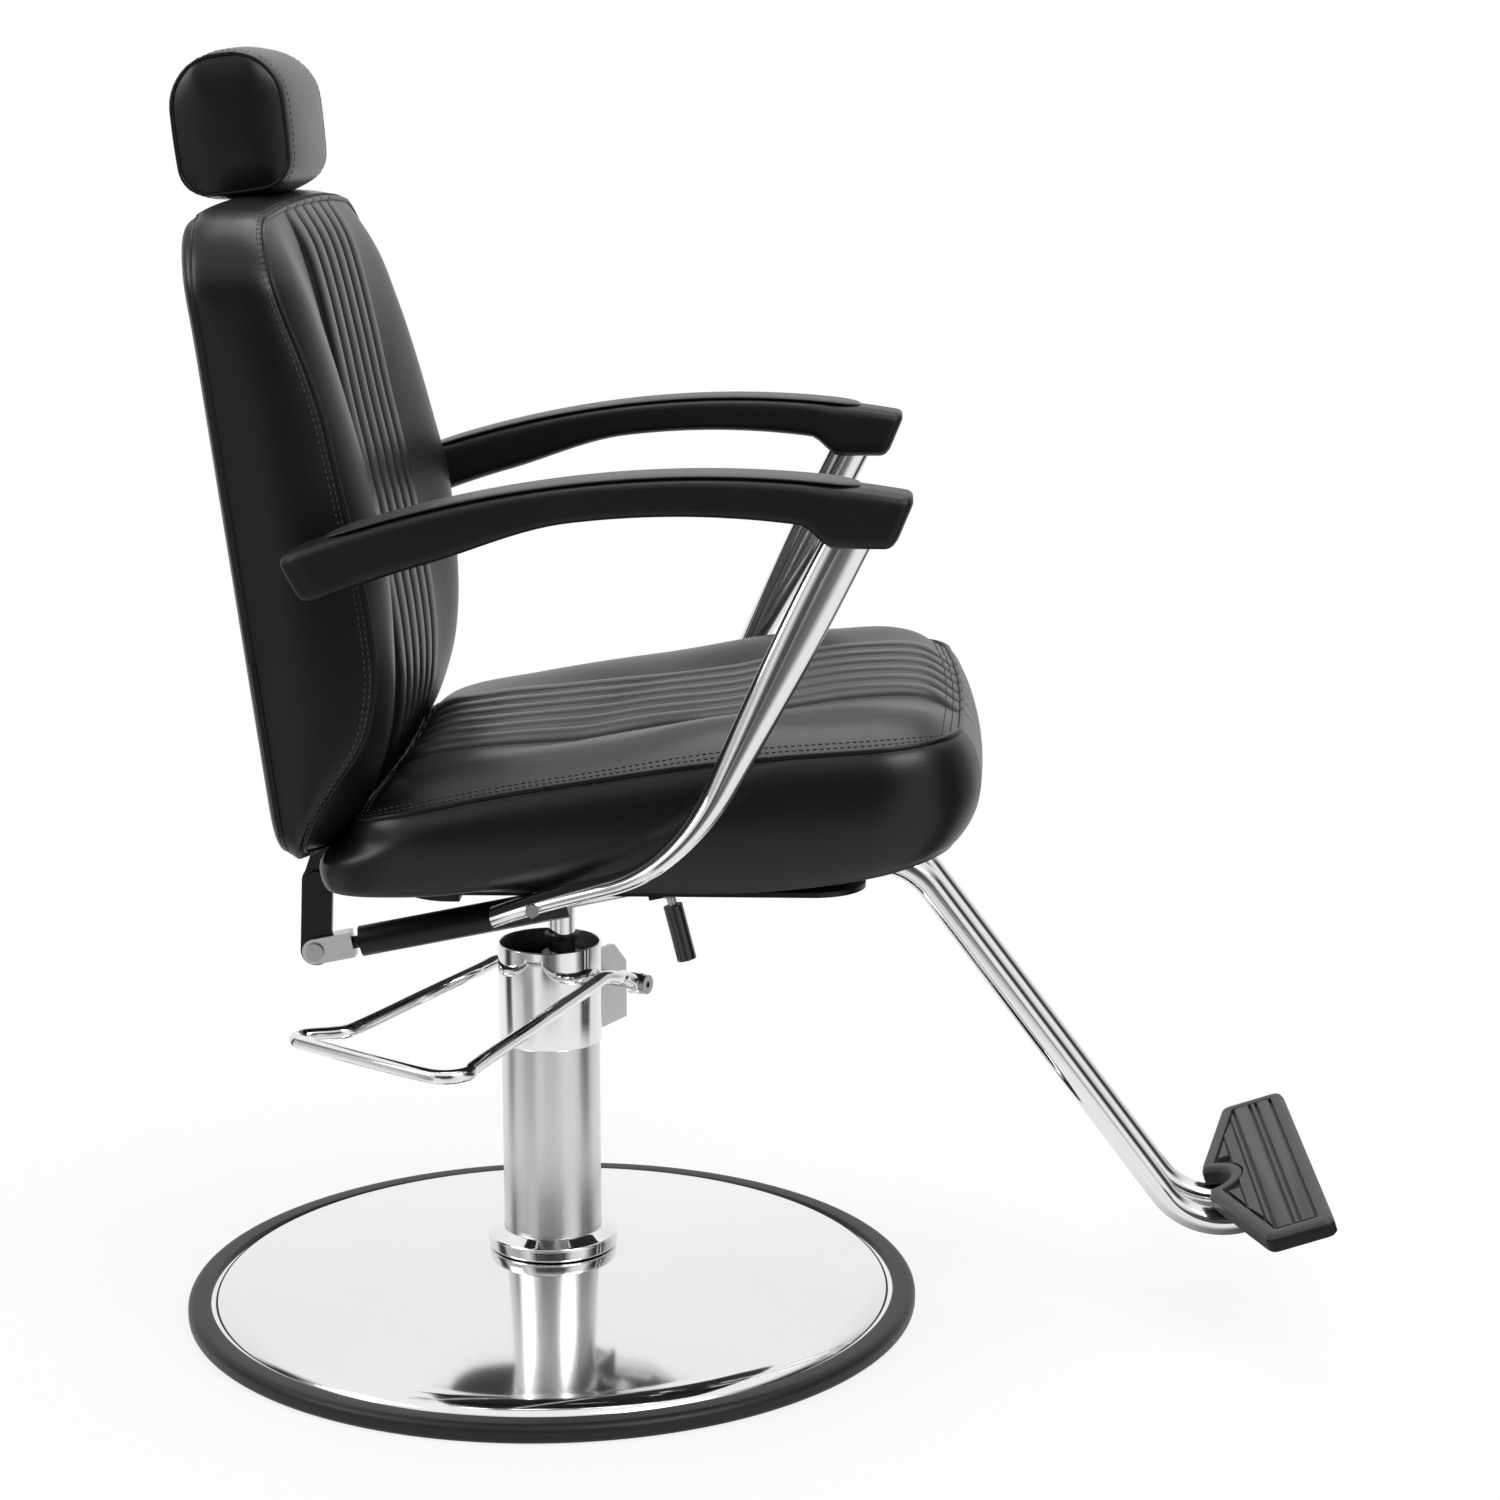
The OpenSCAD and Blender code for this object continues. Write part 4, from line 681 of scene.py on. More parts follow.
class SewnForm:
    """Closed cover of a front panel, a rear panel of the same grid, and a band of rings between their edges."""

    def __init__(self, front, rear, shares, bulge):
        rows, cols = front.shape[:2]
        edge = ([(0, c) for c in range(cols - 1)] + [(r, cols - 1) for r in range(rows - 1)]
                + [(rows - 1, c) for c in range(cols - 1, 0, -1)] + [(r, 0) for r in range(rows - 1, 0, -1)])
        m = len(edge)
        size = rows * cols
        self.front = np.arange(size).reshape(rows, cols)
        self.rear = self.front + size
        self.front_edge = [self.front[e] for e in edge]
        self.rear_edge = [self.rear[e] for e in edge]
        a = np.array([front[e] for e in edge])
        b = np.array([rear[e] for e in edge])
        verts = [front.reshape(-1, 3), rear.reshape(-1, 3)]
        loops = [self.front_edge]
        for k, t in enumerate(shares):
            verts.append(a + (b - a) * t + bulge(t, a))
            loops.append([2 * size + k * m + j for j in range(m)])
        loops.append(self.rear_edge)
        self.band = loops
        faces = []
        f, q = self.front, self.rear
        for r in range(rows - 1):
            for c in range(cols - 1):
                faces.append((f[r, c], f[r, c + 1], f[r + 1, c + 1], f[r + 1, c]))
                faces.append((q[r, c], q[r + 1, c], q[r + 1, c + 1], q[r, c + 1]))
        for lower, upper in zip(loops[:-1], loops[1:]):
            faces += [(lower[j], upper[j], upper[(j + 1) % m], lower[(j + 1) % m]) for j in range(m)]
        self.verts = np.concatenate(verts)
        self.faces = [tuple(int(v) for v in f) for f in faces]


def outward(points, normal):
    """Unit direction out of a closed loop, square to normal."""
    along_loop = np.roll(points, -1, 0) - np.roll(points, 1, 0)
    out = np.cross(along_loop, normal)
    out /= np.maximum(np.linalg.norm(out, axis=1, keepdims=True), 1e-9)
    if ((points - points.mean(0)) * out).sum() < 0:
        out = -out
    for _ in range(3):
        out = (np.roll(out, 1, 0) + 2 * out + np.roll(out, -1, 0)) / 4
    return out / np.linalg.norm(out, axis=1, keepdims=True)


FILL_FRAMES = 20


def fill_cover(obj, held, pressure, cap):
    """Cloth pressure swells the cover between its sewn lines; no point moves more than cap."""
    start = np.array([v.co for v in obj.data.vertices])
    group = obj.vertex_groups.new(name="sewn")
    group.add(sorted({int(i) for i in held}), 1.0, "REPLACE")
    cloth = obj.modifiers.new("filling", "CLOTH")
    s = cloth.settings
    s.quality = 6
    s.mass = 0.25
    s.tension_stiffness = 30
    s.compression_stiffness = 30
    s.shear_stiffness = 12
    s.bending_stiffness = 1.5
    s.use_pressure = True
    s.uniform_pressure_force = pressure
    s.vertex_group_mass = "sewn"
    s.pin_stiffness = 2.0
    s.effector_weights.gravity = 0
    cloth.collision_settings.use_collision = False
    cloth.point_cache.frame_start = 1
    cloth.point_cache.frame_end = FILL_FRAMES
    for f in range(1, FILL_FRAMES + 1):
        scene.frame_set(f)
    graph = bpy.context.evaluated_depsgraph_get()
    swollen = obj.evaluated_get(graph)
    co = np.array([v.co for v in swollen.data.vertices])
    obj.modifiers.remove(cloth)
    obj.vertex_groups.clear()
    scene.frame_set(1)
    move = co - start
    size = np.linalg.norm(move, axis=1, keepdims=True)
    move *= np.minimum(1, cap / np.maximum(size, 1e-9))
    obj.data.vertices.foreach_set("co", (start + move).reshape(-1).astype(np.float32))
    obj.data.update()


def sewn_piece(name, form, held, body, replaced, pressure, cap):
    """Filled and smoothed cover. Gives where the points of its form ended up, for what is sewn on."""
    obj = facing_out(piece(name, form.verts, form.faces, HIDE))
    fill_cover(obj, held, pressure, cap)
    soft = obj.modifiers.new("soft", "SUBSURF")
    soft.levels = soft.render_levels = 1
    plain_mesh(obj)
    obj.data.shade_smooth()
    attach(obj, body)
    stands_for(obj, "cushion", *replaced)
    return np.array([v.co for v in obj.data.vertices])[:len(form.verts)]


CHANNELS = 6
BAND = 0.113
GROOVES = np.linspace(-BAND, BAND, CHANNELS + 1)


def panel_columns(half):
    """Places across a channelled panel, close together beside each sewn groove."""
    inner = [g + w * (GROOVES[1] - GROOVES[0]) for g in GROOVES[:-1]
             for w in (0, 0.045, 0.12, 0.26, 0.42, 0.58, 0.74, 0.88, 0.955)] + [BAND]
    outer = [BAND + (half - BAND) * w for w in (0.015, 0.045, 0.1, 0.18, 0.27, 0.36, 0.45, 0.54, 0.62, 0.70, 0.77,
                                                0.83, 0.885, 0.93, 0.965, 0.985, 1.0)]
    return np.array([-x for x in outer[::-1]] + inner + outer)


def narrowed(x, half, width):
    """Columns outside the channels close up where the panel gets narrower."""
    keep = BAND + 0.012
    out = keep + (np.abs(x) - keep) * (width - keep) / (half - keep)
    return np.where(np.abs(x) <= keep, x, np.sign(x) * out)


def channel_relief(x):
    """Height of the channelled band: round pillows with a sharp sewn groove between them."""
    pillow, depth, crease = 0.0055, 0.0022, 0.0028
    step = GROOVES[1] - GROOVES[0]
    u = np.clip((x + BAND) / step, 0, CHANNELS)
    inside = np.abs(x) <= BAND + 1e-6
    wave = np.where(inside, pillow * (1 - (2 * (u - np.floor(np.minimum(u, CHANNELS - 1e-9))) - 1) ** 4), 0)
    edge = np.minimum.reduce([np.abs(x - g) for g in GROOVES])
    return wave - depth * np.exp(-((edge / crease) ** 1.2))


def groove_columns(xs):
    """Which columns of a panel lie in a sewn groove."""
    return [i for i, x in enumerate(xs) if np.abs(GROOVES - x).min() < 1e-6]


def dense_rows(n):
    """Places along a panel, close together near its ends."""
    ends = np.array([0, 0.006, 0.014, 0.026, 0.042, 0.062])
    middle = np.linspace(0.085, 0.915, n)
    return np.concatenate([ends, middle, 1 - ends[::-1]])


# Heights of the seat from its rear to its front
SEAT_SEAM = smooth_through([(-0.128, 0.4545), (-0.112, 0.458), (-0.06, 0.469), (-0.02, 0.4775), (0.053, 0.4900),
                            (0.1345, 0.5025), (0.193, 0.5088), (0.25, 0.5133), (0.286, 0.5162), (0.303, 0.5176),
                            (0.322, 0.5188)])
SEAT_CREST = smooth_through([(-0.128, 0.467), (-0.112, 0.474), (-0.09, 0.4815), (-0.024, 0.4945), (0.08, 0.5115),
                             (0.165, 0.5285), (0.227, 0.5335), (0.285, 0.5345), (0.305, 0.5300), (0.322, 0.5192)])
SEAT_VALLEY = smooth_through([(-0.128, 0.470), (-0.112, 0.477), (-0.05, 0.4890), (0.05, 0.4980), (0.10, 0.5050),
                              (0.15, 0.5135), (0.20, 0.5240), (0.25, 0.5310), (0.29, 0.5315), (0.308, 0.5275),
                              (0.322, 0.5192)])


def seat():
    """Seat: channelled top panel, side band that is full in front and low at the rear, and a flat underside."""
    half, rear_s, front_s = 0.2365, -0.128, 0.3205
    xs = panel_columns(half)
    v = dense_rows(44)
    S, X0 = np.meshgrid(rear_s + (front_s - rear_s) * v, xs, indexing="ij")
    width = half - np.maximum(corner_cut(S - rear_s, 0.045), corner_cut(front_s - S, 0.062))
    X = narrowed(X0, half, width)
    seam, crest, valley = SEAT_SEAM(S), SEAT_CREST(S), SEAT_VALLEY(S)
    side = shoulder((width - np.abs(X)) / 0.060)
    ends = shoulder((front_s - S) / 0.040) * shoulder((S - rear_s) / 0.04)
    level = valley + (crest - valley) * ease((np.abs(X) - BAND) / 0.066)
    Z = seam + ((level - seam) * side + channel_relief(X)) * np.minimum(1, 0.15 + ends)
    wobble = 0.0032 * np.sin(34 * S + 11 * X) * np.exp(-((S - 0.13) / 0.12) ** 2)
    wobble += 0.0016 * np.sin(71 * S - 17 * X) * np.exp(-((S - 0.05) / 0.10) ** 2)
    X = X + wobble * (1 - ease((np.abs(X) - BAND) / 0.03))
    Z += 0.0022 * np.sin(23 * S + 6 * X) * np.exp(-((S - 0.12) / 0.10) ** 2) * side * ends

    def bow(x, along_s):
        return (1 - (x / half) ** 2) * (0.010 * ease((along_s - 0.18) / 0.13) + 0.012 * ease((-0.04 - along_s) / 0.08))

    top = np.stack([X, -S - bow(X, S), Z], -1)

    tail = 0.024
    b_half, b_rear, b_front = 0.229, -0.130 - tail, 0.3180
    SB = b_rear + (b_front - b_rear) * v
    SB, XB0 = np.meshgrid(SB, xs * b_half / half, indexing="ij")
    b_width = b_half - np.maximum(corner_cut(SB - b_rear, 0.045), corner_cut(b_front - SB, 0.062))
    XB = narrowed(XB0, b_half, b_width)
    run = (SB + 0.121) / 0.462
    ZB = 0.4046 + 0.034 * np.clip((run - 0.56) / 0.44, 0, 1) ** 2
    lever_room = 0.014 * (1 - (XB / b_half) ** 2) * ease((-0.04 - SB) / 0.08)
    under = np.stack([XB, -SB - bow(XB, SB) - lever_room, ZB], -1)

    def bulge(t, a):
        out = outward(a * (1, 1, 0), (0, 0, 1))
        front = ease((-a[:, 1] - 0.26) / 0.05)[:, None]
        rear = ease((-0.06 + a[:, 1]) / 0.05)[:, None]
        reach = 0.0155 + 0.002 * front - 0.007 * rear
        lift = np.zeros_like(a)
        lift[:, 1] = tail * (ease((t - 0.22) / 0.42) - t) * rear[:, 0]
        rolled = ease((t - 0.5) / 0.35) * (1 - ease((t - 0.93) / 0.07))
        lift[:, 2] = -0.004 * math.sin(math.pi * t) - 0.0085 * rolled * ease((a[:, 1] + 0.03) / 0.09)
        return out * reach * math.sin(math.pi * min(t * 1.02, 1) ** 0.85) ** 0.72 + lift

    shares = (0.018, 0.045, 0.09, 0.16, 0.25, 0.36, 0.48, 0.60, 0.71, 0.80, 0.88, 0.94, 0.98)
    form = SewnForm(top, under, shares, bulge)
    held = form.front_edge + list(form.rear.flat) + list(form.front[:, groove_columns(xs)].flat)
    co = sewn_piece("seat_upholstery", form, held, "seat", ["seat_cushion"], 3.5, 0.012)

    proud = (0, 0, 0.0004)
    along("seat_piping", BAR_TREE, [(co[form.front_edge] + proud, True)], "seat", "cushion", Radius=0.0021, Sides=10,
          Material=PIPING)
    rows = [(inside_rows(co, form.front, k) + proud, True) for k in (2, 3)]
    along("seat_stitching", STITCH_TREE, rows, "seat", "cushion", Material=THREAD, **FINE_STITCH)


def inside_rows(co, grid, k):
    """Loop of points k rows inside a panel's edge."""
    g = grid[k:-k, k:-k]
    loop = list(g[0, :-1]) + list(g[:-1, -1]) + list(g[-1, :0:-1]) + list(g[:0:-1, 0])
    return co[loop]


# Depth in front of the back's rear plane, by height
BACK_CREST = smooth_through([(0.4275, 0.034), (0.44, 0.0505), (0.4583, 0.0655), (0.4742, 0.0755), (0.4915, 0.084),
                             (0.5043, 0.0895), (0.5193, 0.0950), (0.5387, 0.1000), (0.560, 0.1040), (0.580, 0.1065),
                             (0.630, 0.1105), (0.678, 0.1102), (0.700, 0.1072), (0.742, 0.1015), (0.784, 0.0948),
                             (0.816, 0.0888), (0.847, 0.0828), (0.868, 0.0765), (0.885, 0.0690), (0.8995, 0.0610)])
BACK_VALLEY = smooth_through([(0.4275, 0.033), (0.44, 0.048), (0.4583, 0.0615), (0.4742, 0.0705), (0.4915, 0.078),
                              (0.5043, 0.0825), (0.5193, 0.0865), (0.5387, 0.0900), (0.579, 0.0925), (0.620, 0.0915),
                              (0.700, 0.0865), (0.750, 0.0815), (0.800, 0.0782), (0.850, 0.0733), (0.880, 0.0680),
                              (0.8975, 0.0612)])
BACK_SEAM = smooth_through([(0.4275, 0.018), (0.44, 0.024), (0.4583, 0.034), (0.4742, 0.0465), (0.4915, 0.0605),
                            (0.5043, 0.0715), (0.5193, 0.0815), (0.5387, 0.0895), (0.5564, 0.0945), (0.599, 0.0980),
                            (0.660, 0.0950), (0.728, 0.0892), (0.755, 0.0868), (0.781, 0.0820), (0.817, 0.0737),
                            (0.843, 0.0690), (0.869, 0.0652), (0.8975, 0.0605)])


def rear_plane(z):
    """Where the leaning back's rear lies at height z."""
    return BACK_Y + (z - BACK_Z) * math.tan(LEAN)


def back():
    """Back: channelled front panel with bolsters, wide side band, and a rear panel with rounded edges."""
    half, low, high = 0.2325, 0.4275, 0.8995
    xs = panel_columns(half)
    v = dense_rows(48)
    Z, X0 = np.meshgrid(low + (high - low) * v, xs, indexing="ij")
    width = half - np.maximum(corner_cut(Z - low, 0.035), corner_cut(high - Z, 0.052))
    X = narrowed(X0, half, width)
    side = shoulder((width - np.abs(X)) / 0.040)
    ends = shoulder((high - Z) / 0.060) * shoulder((Z - low) / 0.04)
    seam, crest, valley = BACK_SEAM(Z), BACK_CREST(Z), BACK_VALLEY(Z)
    level = valley + (crest - valley) * ease((np.abs(X) - BAND) / 0.082)
    depth = seam + (level - seam) * side + channel_relief(X) * np.minimum(1, 0.15 + ends)

    def arch(x, z):
        return z - 0.012 * (np.abs(x) / half) ** 2.5 * ease((z - 0.79) / 0.10)

    front = np.stack([X, rear_plane(Z) - depth, arch(X, Z)], -1)

    r_half, r_low, r_high = 0.2355, 0.4265, 0.9010
    ZR, XR0 = np.meshgrid(r_low + (r_high - r_low) * v, xs * r_half / half, indexing="ij")
    r_width = r_half - np.maximum(corner_cut(ZR - r_low, 0.035), corner_cut(r_high - ZR, 0.058))
    XR = narrowed(XR0, r_half, r_width)
    near = np.minimum(np.minimum(r_width - np.abs(XR), r_high - ZR), ZR - r_low)
    roll = 0.0105 * (1 - np.sqrt(shoulder(near / 0.022)))
    rear = np.stack([XR, rear_plane(ZR) - roll, arch(XR, ZR)], -1)

    def bulge(t, a):
        out = outward(a * (1, 0, 1), (0, 1, 0))
        top = ease((a[:, 2] - 0.86) / 0.03)[:, None]
        shape = math.sin(math.pi * t) ** 0.6
        wave = 0.0016 * np.sin(17 * a[:, 2] + 4 * t)[:, None] * math.sin(math.pi * t)
        return out * ((0.0052 + 0.0012 * top) * shape + wave)

    shares = (0.014, 0.036, 0.072, 0.15, 0.26, 0.39, 0.52, 0.64, 0.76, 0.86, 0.93, 0.965, 0.985)
    form = SewnForm(front, rear, shares, bulge)
    held = (form.front_edge + form.rear_edge + list(form.rear[3:-3, 3:-3].flat)
            + list(form.front[:, groove_columns(xs)].flat))
    co = sewn_piece("back_upholstery", form, held, "back", ["back_cushion", "back_shell"], 3.0, 0.007)

    along("back_piping", BAR_TREE, [(co[form.front_edge] + (0, -0.0003, 0), True)], "back", "cushion", Radius=0.0021,
          Sides=10, Material=PIPING)
    rear_loop = co[form.rear_edge]
    along("back_rear_seam", BAR_TREE, [(rear_loop, True)], "back", "cushion", Radius=0.0011, Sides=8, Material=PIPING)
    lift = outward(co[form.band[2]], (0, 1, 0)) * 0.0004
    rows = [(co[form.band[k]] + lift, True) for k in (2, 3)]
    along("back_stitching", STITCH_TREE, rows, "back", "cushion", Spacing=0.0054, Length=0.0036, Thickness=0.0011,
          Material=THREAD)
    fold_x, fold_low, fold_high = 0.225, 0.44, 0.580
    folds = []
    for sign in (-1, 1):
        edge = np.array([p for p in rear_loop if p[0] * sign > fold_x and fold_low < p[2] < fold_high])
        edge = edge[np.argsort(edge[:, 2])]
        folds.append((edge + (-0.0004 * sign, 0.0012, 0), False))
    along("back_zip_fold", BAR_TREE, folds, "back", "cushion", Radius=0.0026, Sides=10, Material=PIPING)


def headrest():
    """Headrest: two piped side panels and one long panel wrapped around them."""
    origin = np.array([0, BACK_Y, BACK_Z])
    up = np.array([0, math.sin(LEAN), math.cos(LEAN)])
    out = np.array([0, math.cos(LEAN), -math.sin(LEAN)])
    shell_h = BACK_TALL / math.cos(LEAN)
    forward, gap, half_tall = 0.024, 0.0037, 0.0505
    middle = origin - out * forward + up * (shell_h + gap + half_tall)
    half_wide, dome = 0.083, 0.007
    deep, tall, r_low, r_high = 0.0405, 0.0485, 0.018, 0.033
    v = crowded(22, 0.5)
    u = crowded(20, 0.5) * 2 - 1
    H, U = np.meshgrid(-tall + 2 * tall * v, u, indexing="ij")
    wide = deep - np.maximum(corner_cut(H + tall, r_low), corner_cut(tall - H, r_high))
    D = U * wide
    D = D * (1 + 0.05 * (1 - (H / tall) ** 2)) - 0.0015 * (H / tall)
    H = H * (1 + 0.055 * (1 - (D / deep) ** 2))

    def panel(x):
        edge = np.minimum(wide - np.abs(U * wide), tall - np.abs(H) * 0.97)
        rise = dome * shoulder(np.clip(edge, 0, None) / 0.03)
        p = middle + D[..., None] * out + H[..., None] * up
        p[..., 0] = x + np.sign(x) * rise
        return p

    near, far = panel(-half_wide), panel(half_wide)

    def bulge(t, a):
        o = outward(a * (0, 1, 1), (1, 0, 0))
        return o * 0.0055 * math.sin(math.pi * t) ** 0.45

    shares = (0.012, 0.03, 0.06, 0.11, 0.18, 0.26, 0.34, 0.42, 0.5, 0.58, 0.66, 0.74, 0.82, 0.89, 0.94, 0.97, 0.988)
    form = SewnForm(near, far, shares, bulge)
    held = form.front_edge + form.rear_edge
    co = sewn_piece("headrest_upholstery", form, held, "headrest", ["headrest_cushion"], 4.0, 0.005)
    loops = [(co[form.front_edge] + (-0.0006, 0, 0), True), (co[form.rear_edge] + (0.0006, 0, 0), True)]
    along("headrest_piping", BAR_TREE, loops, "headrest", "cushion", Radius=0.0015, Sides=10, Material=PIPING)
    rows = [(co[form.band[k]], True) for k in (3, -4)]
    along("headrest_stitching", STITCH_TREE, rows, "headrest", "cushion", Material=PIPING, **FINE_STITCH)


# Foot plate

# Heights on the foot plate, below the top of its tread
GROOVE_FLOOR, RIB_FOOT, RIB_EDGE = -0.0034, -0.0037, -0.0005


def on_plate(p):
    """Place on the sloping foot plate."""
    x, y, z = p
    c, s = math.cos(SLOPE), math.sin(SLOPE)
    return (x, PLATE_Y + RAM_Y + y * c + z * s, PLATE_Z - y * s + z * c)


def plate_outline(inset, n=9):
    """Outline of the foot plate, moved in by inset: wide in front, slanted behind, with a round notch."""
    w, l, fall = PLATE_HALF - inset, PLATE_DEEP - inset, 0.032
    slant = math.atan2(fall, 0.126)
    rear = -inset / math.cos(slant)
    notch = 0.024 + inset
    corners = [((w, -l), 0.008), ((w, -fall + rear + (PLATE_HALF - w) * math.tan(slant)), 0.007),
               ((0.034, rear), 0.004)]
    half = []
    previous = (0.0, -l)
    for k, (corner, r) in enumerate(corners):
        a = np.array(corners[k - 1][0] if k else previous)
        b = np.array(corner)
        c = np.array(corners[k + 1][0] if k < 2 else (0.0, rear))
        u, q = (a - b) / np.linalg.norm(a - b), (c - b) / np.linalg.norm(c - b)
        r = max(r - inset * 0.5, 0.0015)
        for t in np.linspace(0, 1, n):
            half.append((1 - t) ** 2 * (b + u * r) + 2 * t * (1 - t) * b + t * t * (b + q * r))
    lift = 0.004
    start = math.asin(min((rear - lift) / notch, 1))
    for a in np.linspace(start, -math.pi / 2, 14):
        half.append(np.array((notch * math.cos(a), lift + notch * math.sin(a))))
    half = [p for p in half if not (p[0] < notch * math.cos(start) and p[1] > rear - 1e-9)]
    half[-1][0] = 0.0
    left = [np.array((-p[0], p[1])) for p in half[::-1][1:]]
    return np.array(half + left)


def slab(name, outlines, material, *solids):
    """Closed slab from outlines of the same length, each with its height on the plate."""
    n = len(outlines[0][0])
    verts = [on_plate((p[0], p[1], z)) for ring, z in outlines for p in ring]
    faces = rings_to_faces(len(outlines), n)
    return stands_for(facing_out(piece(name, verts, faces, material, 45, "seat")), "foot_plastic", *solids)


def clip(poly, axis, value, keep_above):
    """Part of an outline on one side of a line square to an axis."""
    out = []
    for a, b in zip(poly, np.roll(poly, -1, 0)):
        ia = (a[axis] >= value) == keep_above
        ib = (b[axis] >= value) == keep_above
        if ia:
            out.append(a)
        if ia != ib:
            out.append(a + (b - a) * (value - a[axis]) / (b[axis] - a[axis]))
    return np.array(out)


def shrink(poly, d):
    """Convex outline moved in by d."""
    centre = poly.mean(0)
    ahead, behind = np.roll(poly, -1, 0) - poly, poly - np.roll(poly, 1, 0)
    n = np.stack([-(ahead + behind)[:, 1], (ahead + behind)[:, 0]], -1)
    n /= np.maximum(np.linalg.norm(n, axis=1, keepdims=True), 1e-9)
    if ((centre - poly) * n).sum() < 0:
        n = -n
    return poly + n * d


def rib(name, outline):
    """Raised rib of the tread, with its top edge eased."""
    slab(name, [(outline, RIB_FOOT), (shrink(outline, 0.0002), RIB_EDGE), (shrink(outline, 0.0008), 0.0)], TREAD)


def foot_plate():
    """Foot plate: a dark body with grooves, and the border, ribs and wedges of its tread."""
    steps = ((0.0022, -PLATE_THICK), (0.0, -0.0128), (0.0, -0.0052), (0.0007, -0.0038), (0.0016, GROOVE_FLOOR),
             (0.0040, GROOVE_FLOOR))
    slab("foot_plate_moulded", [(plate_outline(i), z) for i, z in steps], FOOT_BODY, "footrest_plate")
    steps = ((0.0009, RIB_FOOT), (0.0018, -0.0014), (0.0036, 0.0), (0.0104, 0.0), (0.0110, RIB_EDGE),
             (0.0112, RIB_FOOT))
    loops = [(plate_outline(i), z) for i, z in steps]
    verts = [on_plate((p[0], p[1], z)) for ring, z in loops for p in ring]
    border = piece("foot_plate_border", verts, ring_faces(len(loops), len(loops[0][0])), TREAD, 45, "seat")
    stands_for(facing_out(border), "foot_plastic", "footrest_plate")
    field = plate_outline(0.0135)
    bars = [(-0.0725, -0.0622), (-0.0600, -0.0568), (-0.0546, -0.0421), (-0.0399, -0.0367), (-0.0345, -0.0276)]
    for k, (y0, y1) in enumerate(bars):
        rib("foot_plate_rib_%d" % k, clip(clip(field, 1, y0, True), 1, y1, False))
    wedge = clip(clip(field, 1, -0.0254, True), 0, 0.040, True)
    for side, label in SIDES:
        rib("foot_plate_wedge_" + label, wedge * (side, 1))


base_and_pump()
footrest_tubes()
pedal()
arms()
arm_tubes()
foot_plate()
seat()
back()
headrest()

# Solids that stay as they are
KEPT = {
    CHROME: ["strut_rod"],
    STEEL: ["base_bolts", "plunger_block", "pedal_shaft", "pedal_end_bolts", "pump_plunger", "ram_piston", "arm_bolts",
            "footrest_bolts", "strut_front_pin", "headrest_guides", "strut_pin", "release_lever", "ram_cylinder"],
    BLACK_PAINT: ["hinge_pins", "ram_guide", "seat_mount", "seat_board", "footrest_clamp", "footrest_bracket",
                  "seat_hinge_right", "seat_hinge_left", "strut_front_bracket", "back_lever_right", "back_lever_left",
                  "strut_cylinder", "release_head", "headrest_frame"],
    RUBBER: ["piston_seal", "ram_ring"],
    ZINC: ["strut_clevis", "pump_bracket"],
    GRIP: ["release_grip"],
    IRON: ["base_ballast"],
}
for material, names in KEPT.items():
    for name in names:
        mesh = nodes[name].data
        mesh.materials.clear()
        mesh.materials.append(material)


# Stage, light and camera

def tones_around(tree, x, y, stops):
    """Grey by compass direction, the bright and dark panels of a studio."""
    side = calc(tree, "ARCTAN2", y, x)
    turn = add(tree, "ShaderNodeMapRange")
    turn.inputs["From Min"].default_value = -math.pi
    turn.inputs["From Max"].default_value = math.pi
    tree.links.new(side, turn.inputs["Value"])
    walls = add(tree, "ShaderNodeValToRGB")
    e = walls.color_ramp.elements
    for end, (position, value) in zip(e, (stops[0], stops[-1])):
        end.position, end.color = position, (value, value, value, 1)
    for position, value in stops[1:-1]:
        e.new(position).color = (value, value, value, 1)
    wire(tree, turn, "Result", walls, "Fac")
    return walls.outputs["Color"]


WHITE = (1, 1, 1, 1)
# Greys that bright metal sees by direction, on the near floor, the walls and the far floor
NEAR_TONES = ((0.0, 0.72), (0.06, 0.80), (0.10, 0.95), (0.20, 0.85), (0.225, 0.05), (0.275, 0.05), (0.30, 0.85),
              (0.40, 0.95), (0.50, 1.0), (0.68, 1.0), (0.715, 0.08), (0.745, 0.08), (0.765, 0.9), (0.83, 0.7),
              (0.86, 0.35), (0.90, 0.35), (0.93, 0.95), (0.96, 0.85), (1.0, 0.72))
ROOM_TONES = ((0.0, 0.05), (0.07, 0.10), (0.11, 0.90), (0.17, 1.0), (0.20, 0.30), (0.225, 0.04), (0.28, 0.05),
              (0.32, 0.5), (0.40, 0.9), (0.50, 1.0), (0.68, 0.9), (0.715, 0.06), (0.745, 0.06), (0.77, 0.6),
              (0.84, 0.5), (0.89, 0.9), (0.93, 0.10), (1.0, 0.05))
FAR_TONES = ((0.0, 0.12), (0.045, 0.20), (0.085, 0.90), (0.17, 1.0), (0.20, 0.30), (0.225, 0.04), (0.28, 0.05),
             (0.32, 0.5), (0.40, 0.8), (0.50, 0.9), (0.68, 0.8), (0.715, 0.06), (0.745, 0.06), (0.77, 0.6),
             (0.84, 0.30), (0.90, 0.45), (0.93, 0.95), (0.955, 0.85), (0.98, 0.20), (1.0, 0.12))


def smooth_range(tree, value, a, b, low, high):
    n = add(tree, "ShaderNodeMapRange", interpolation_type="SMOOTHSTEP")
    for label, v in (("From Min", a), ("From Max", b), ("To Min", low), ("To Max", high)):
        n.inputs[label].default_value = v
    tree.links.new(value, n.inputs["Value"])
    return n.outputs["Result"]


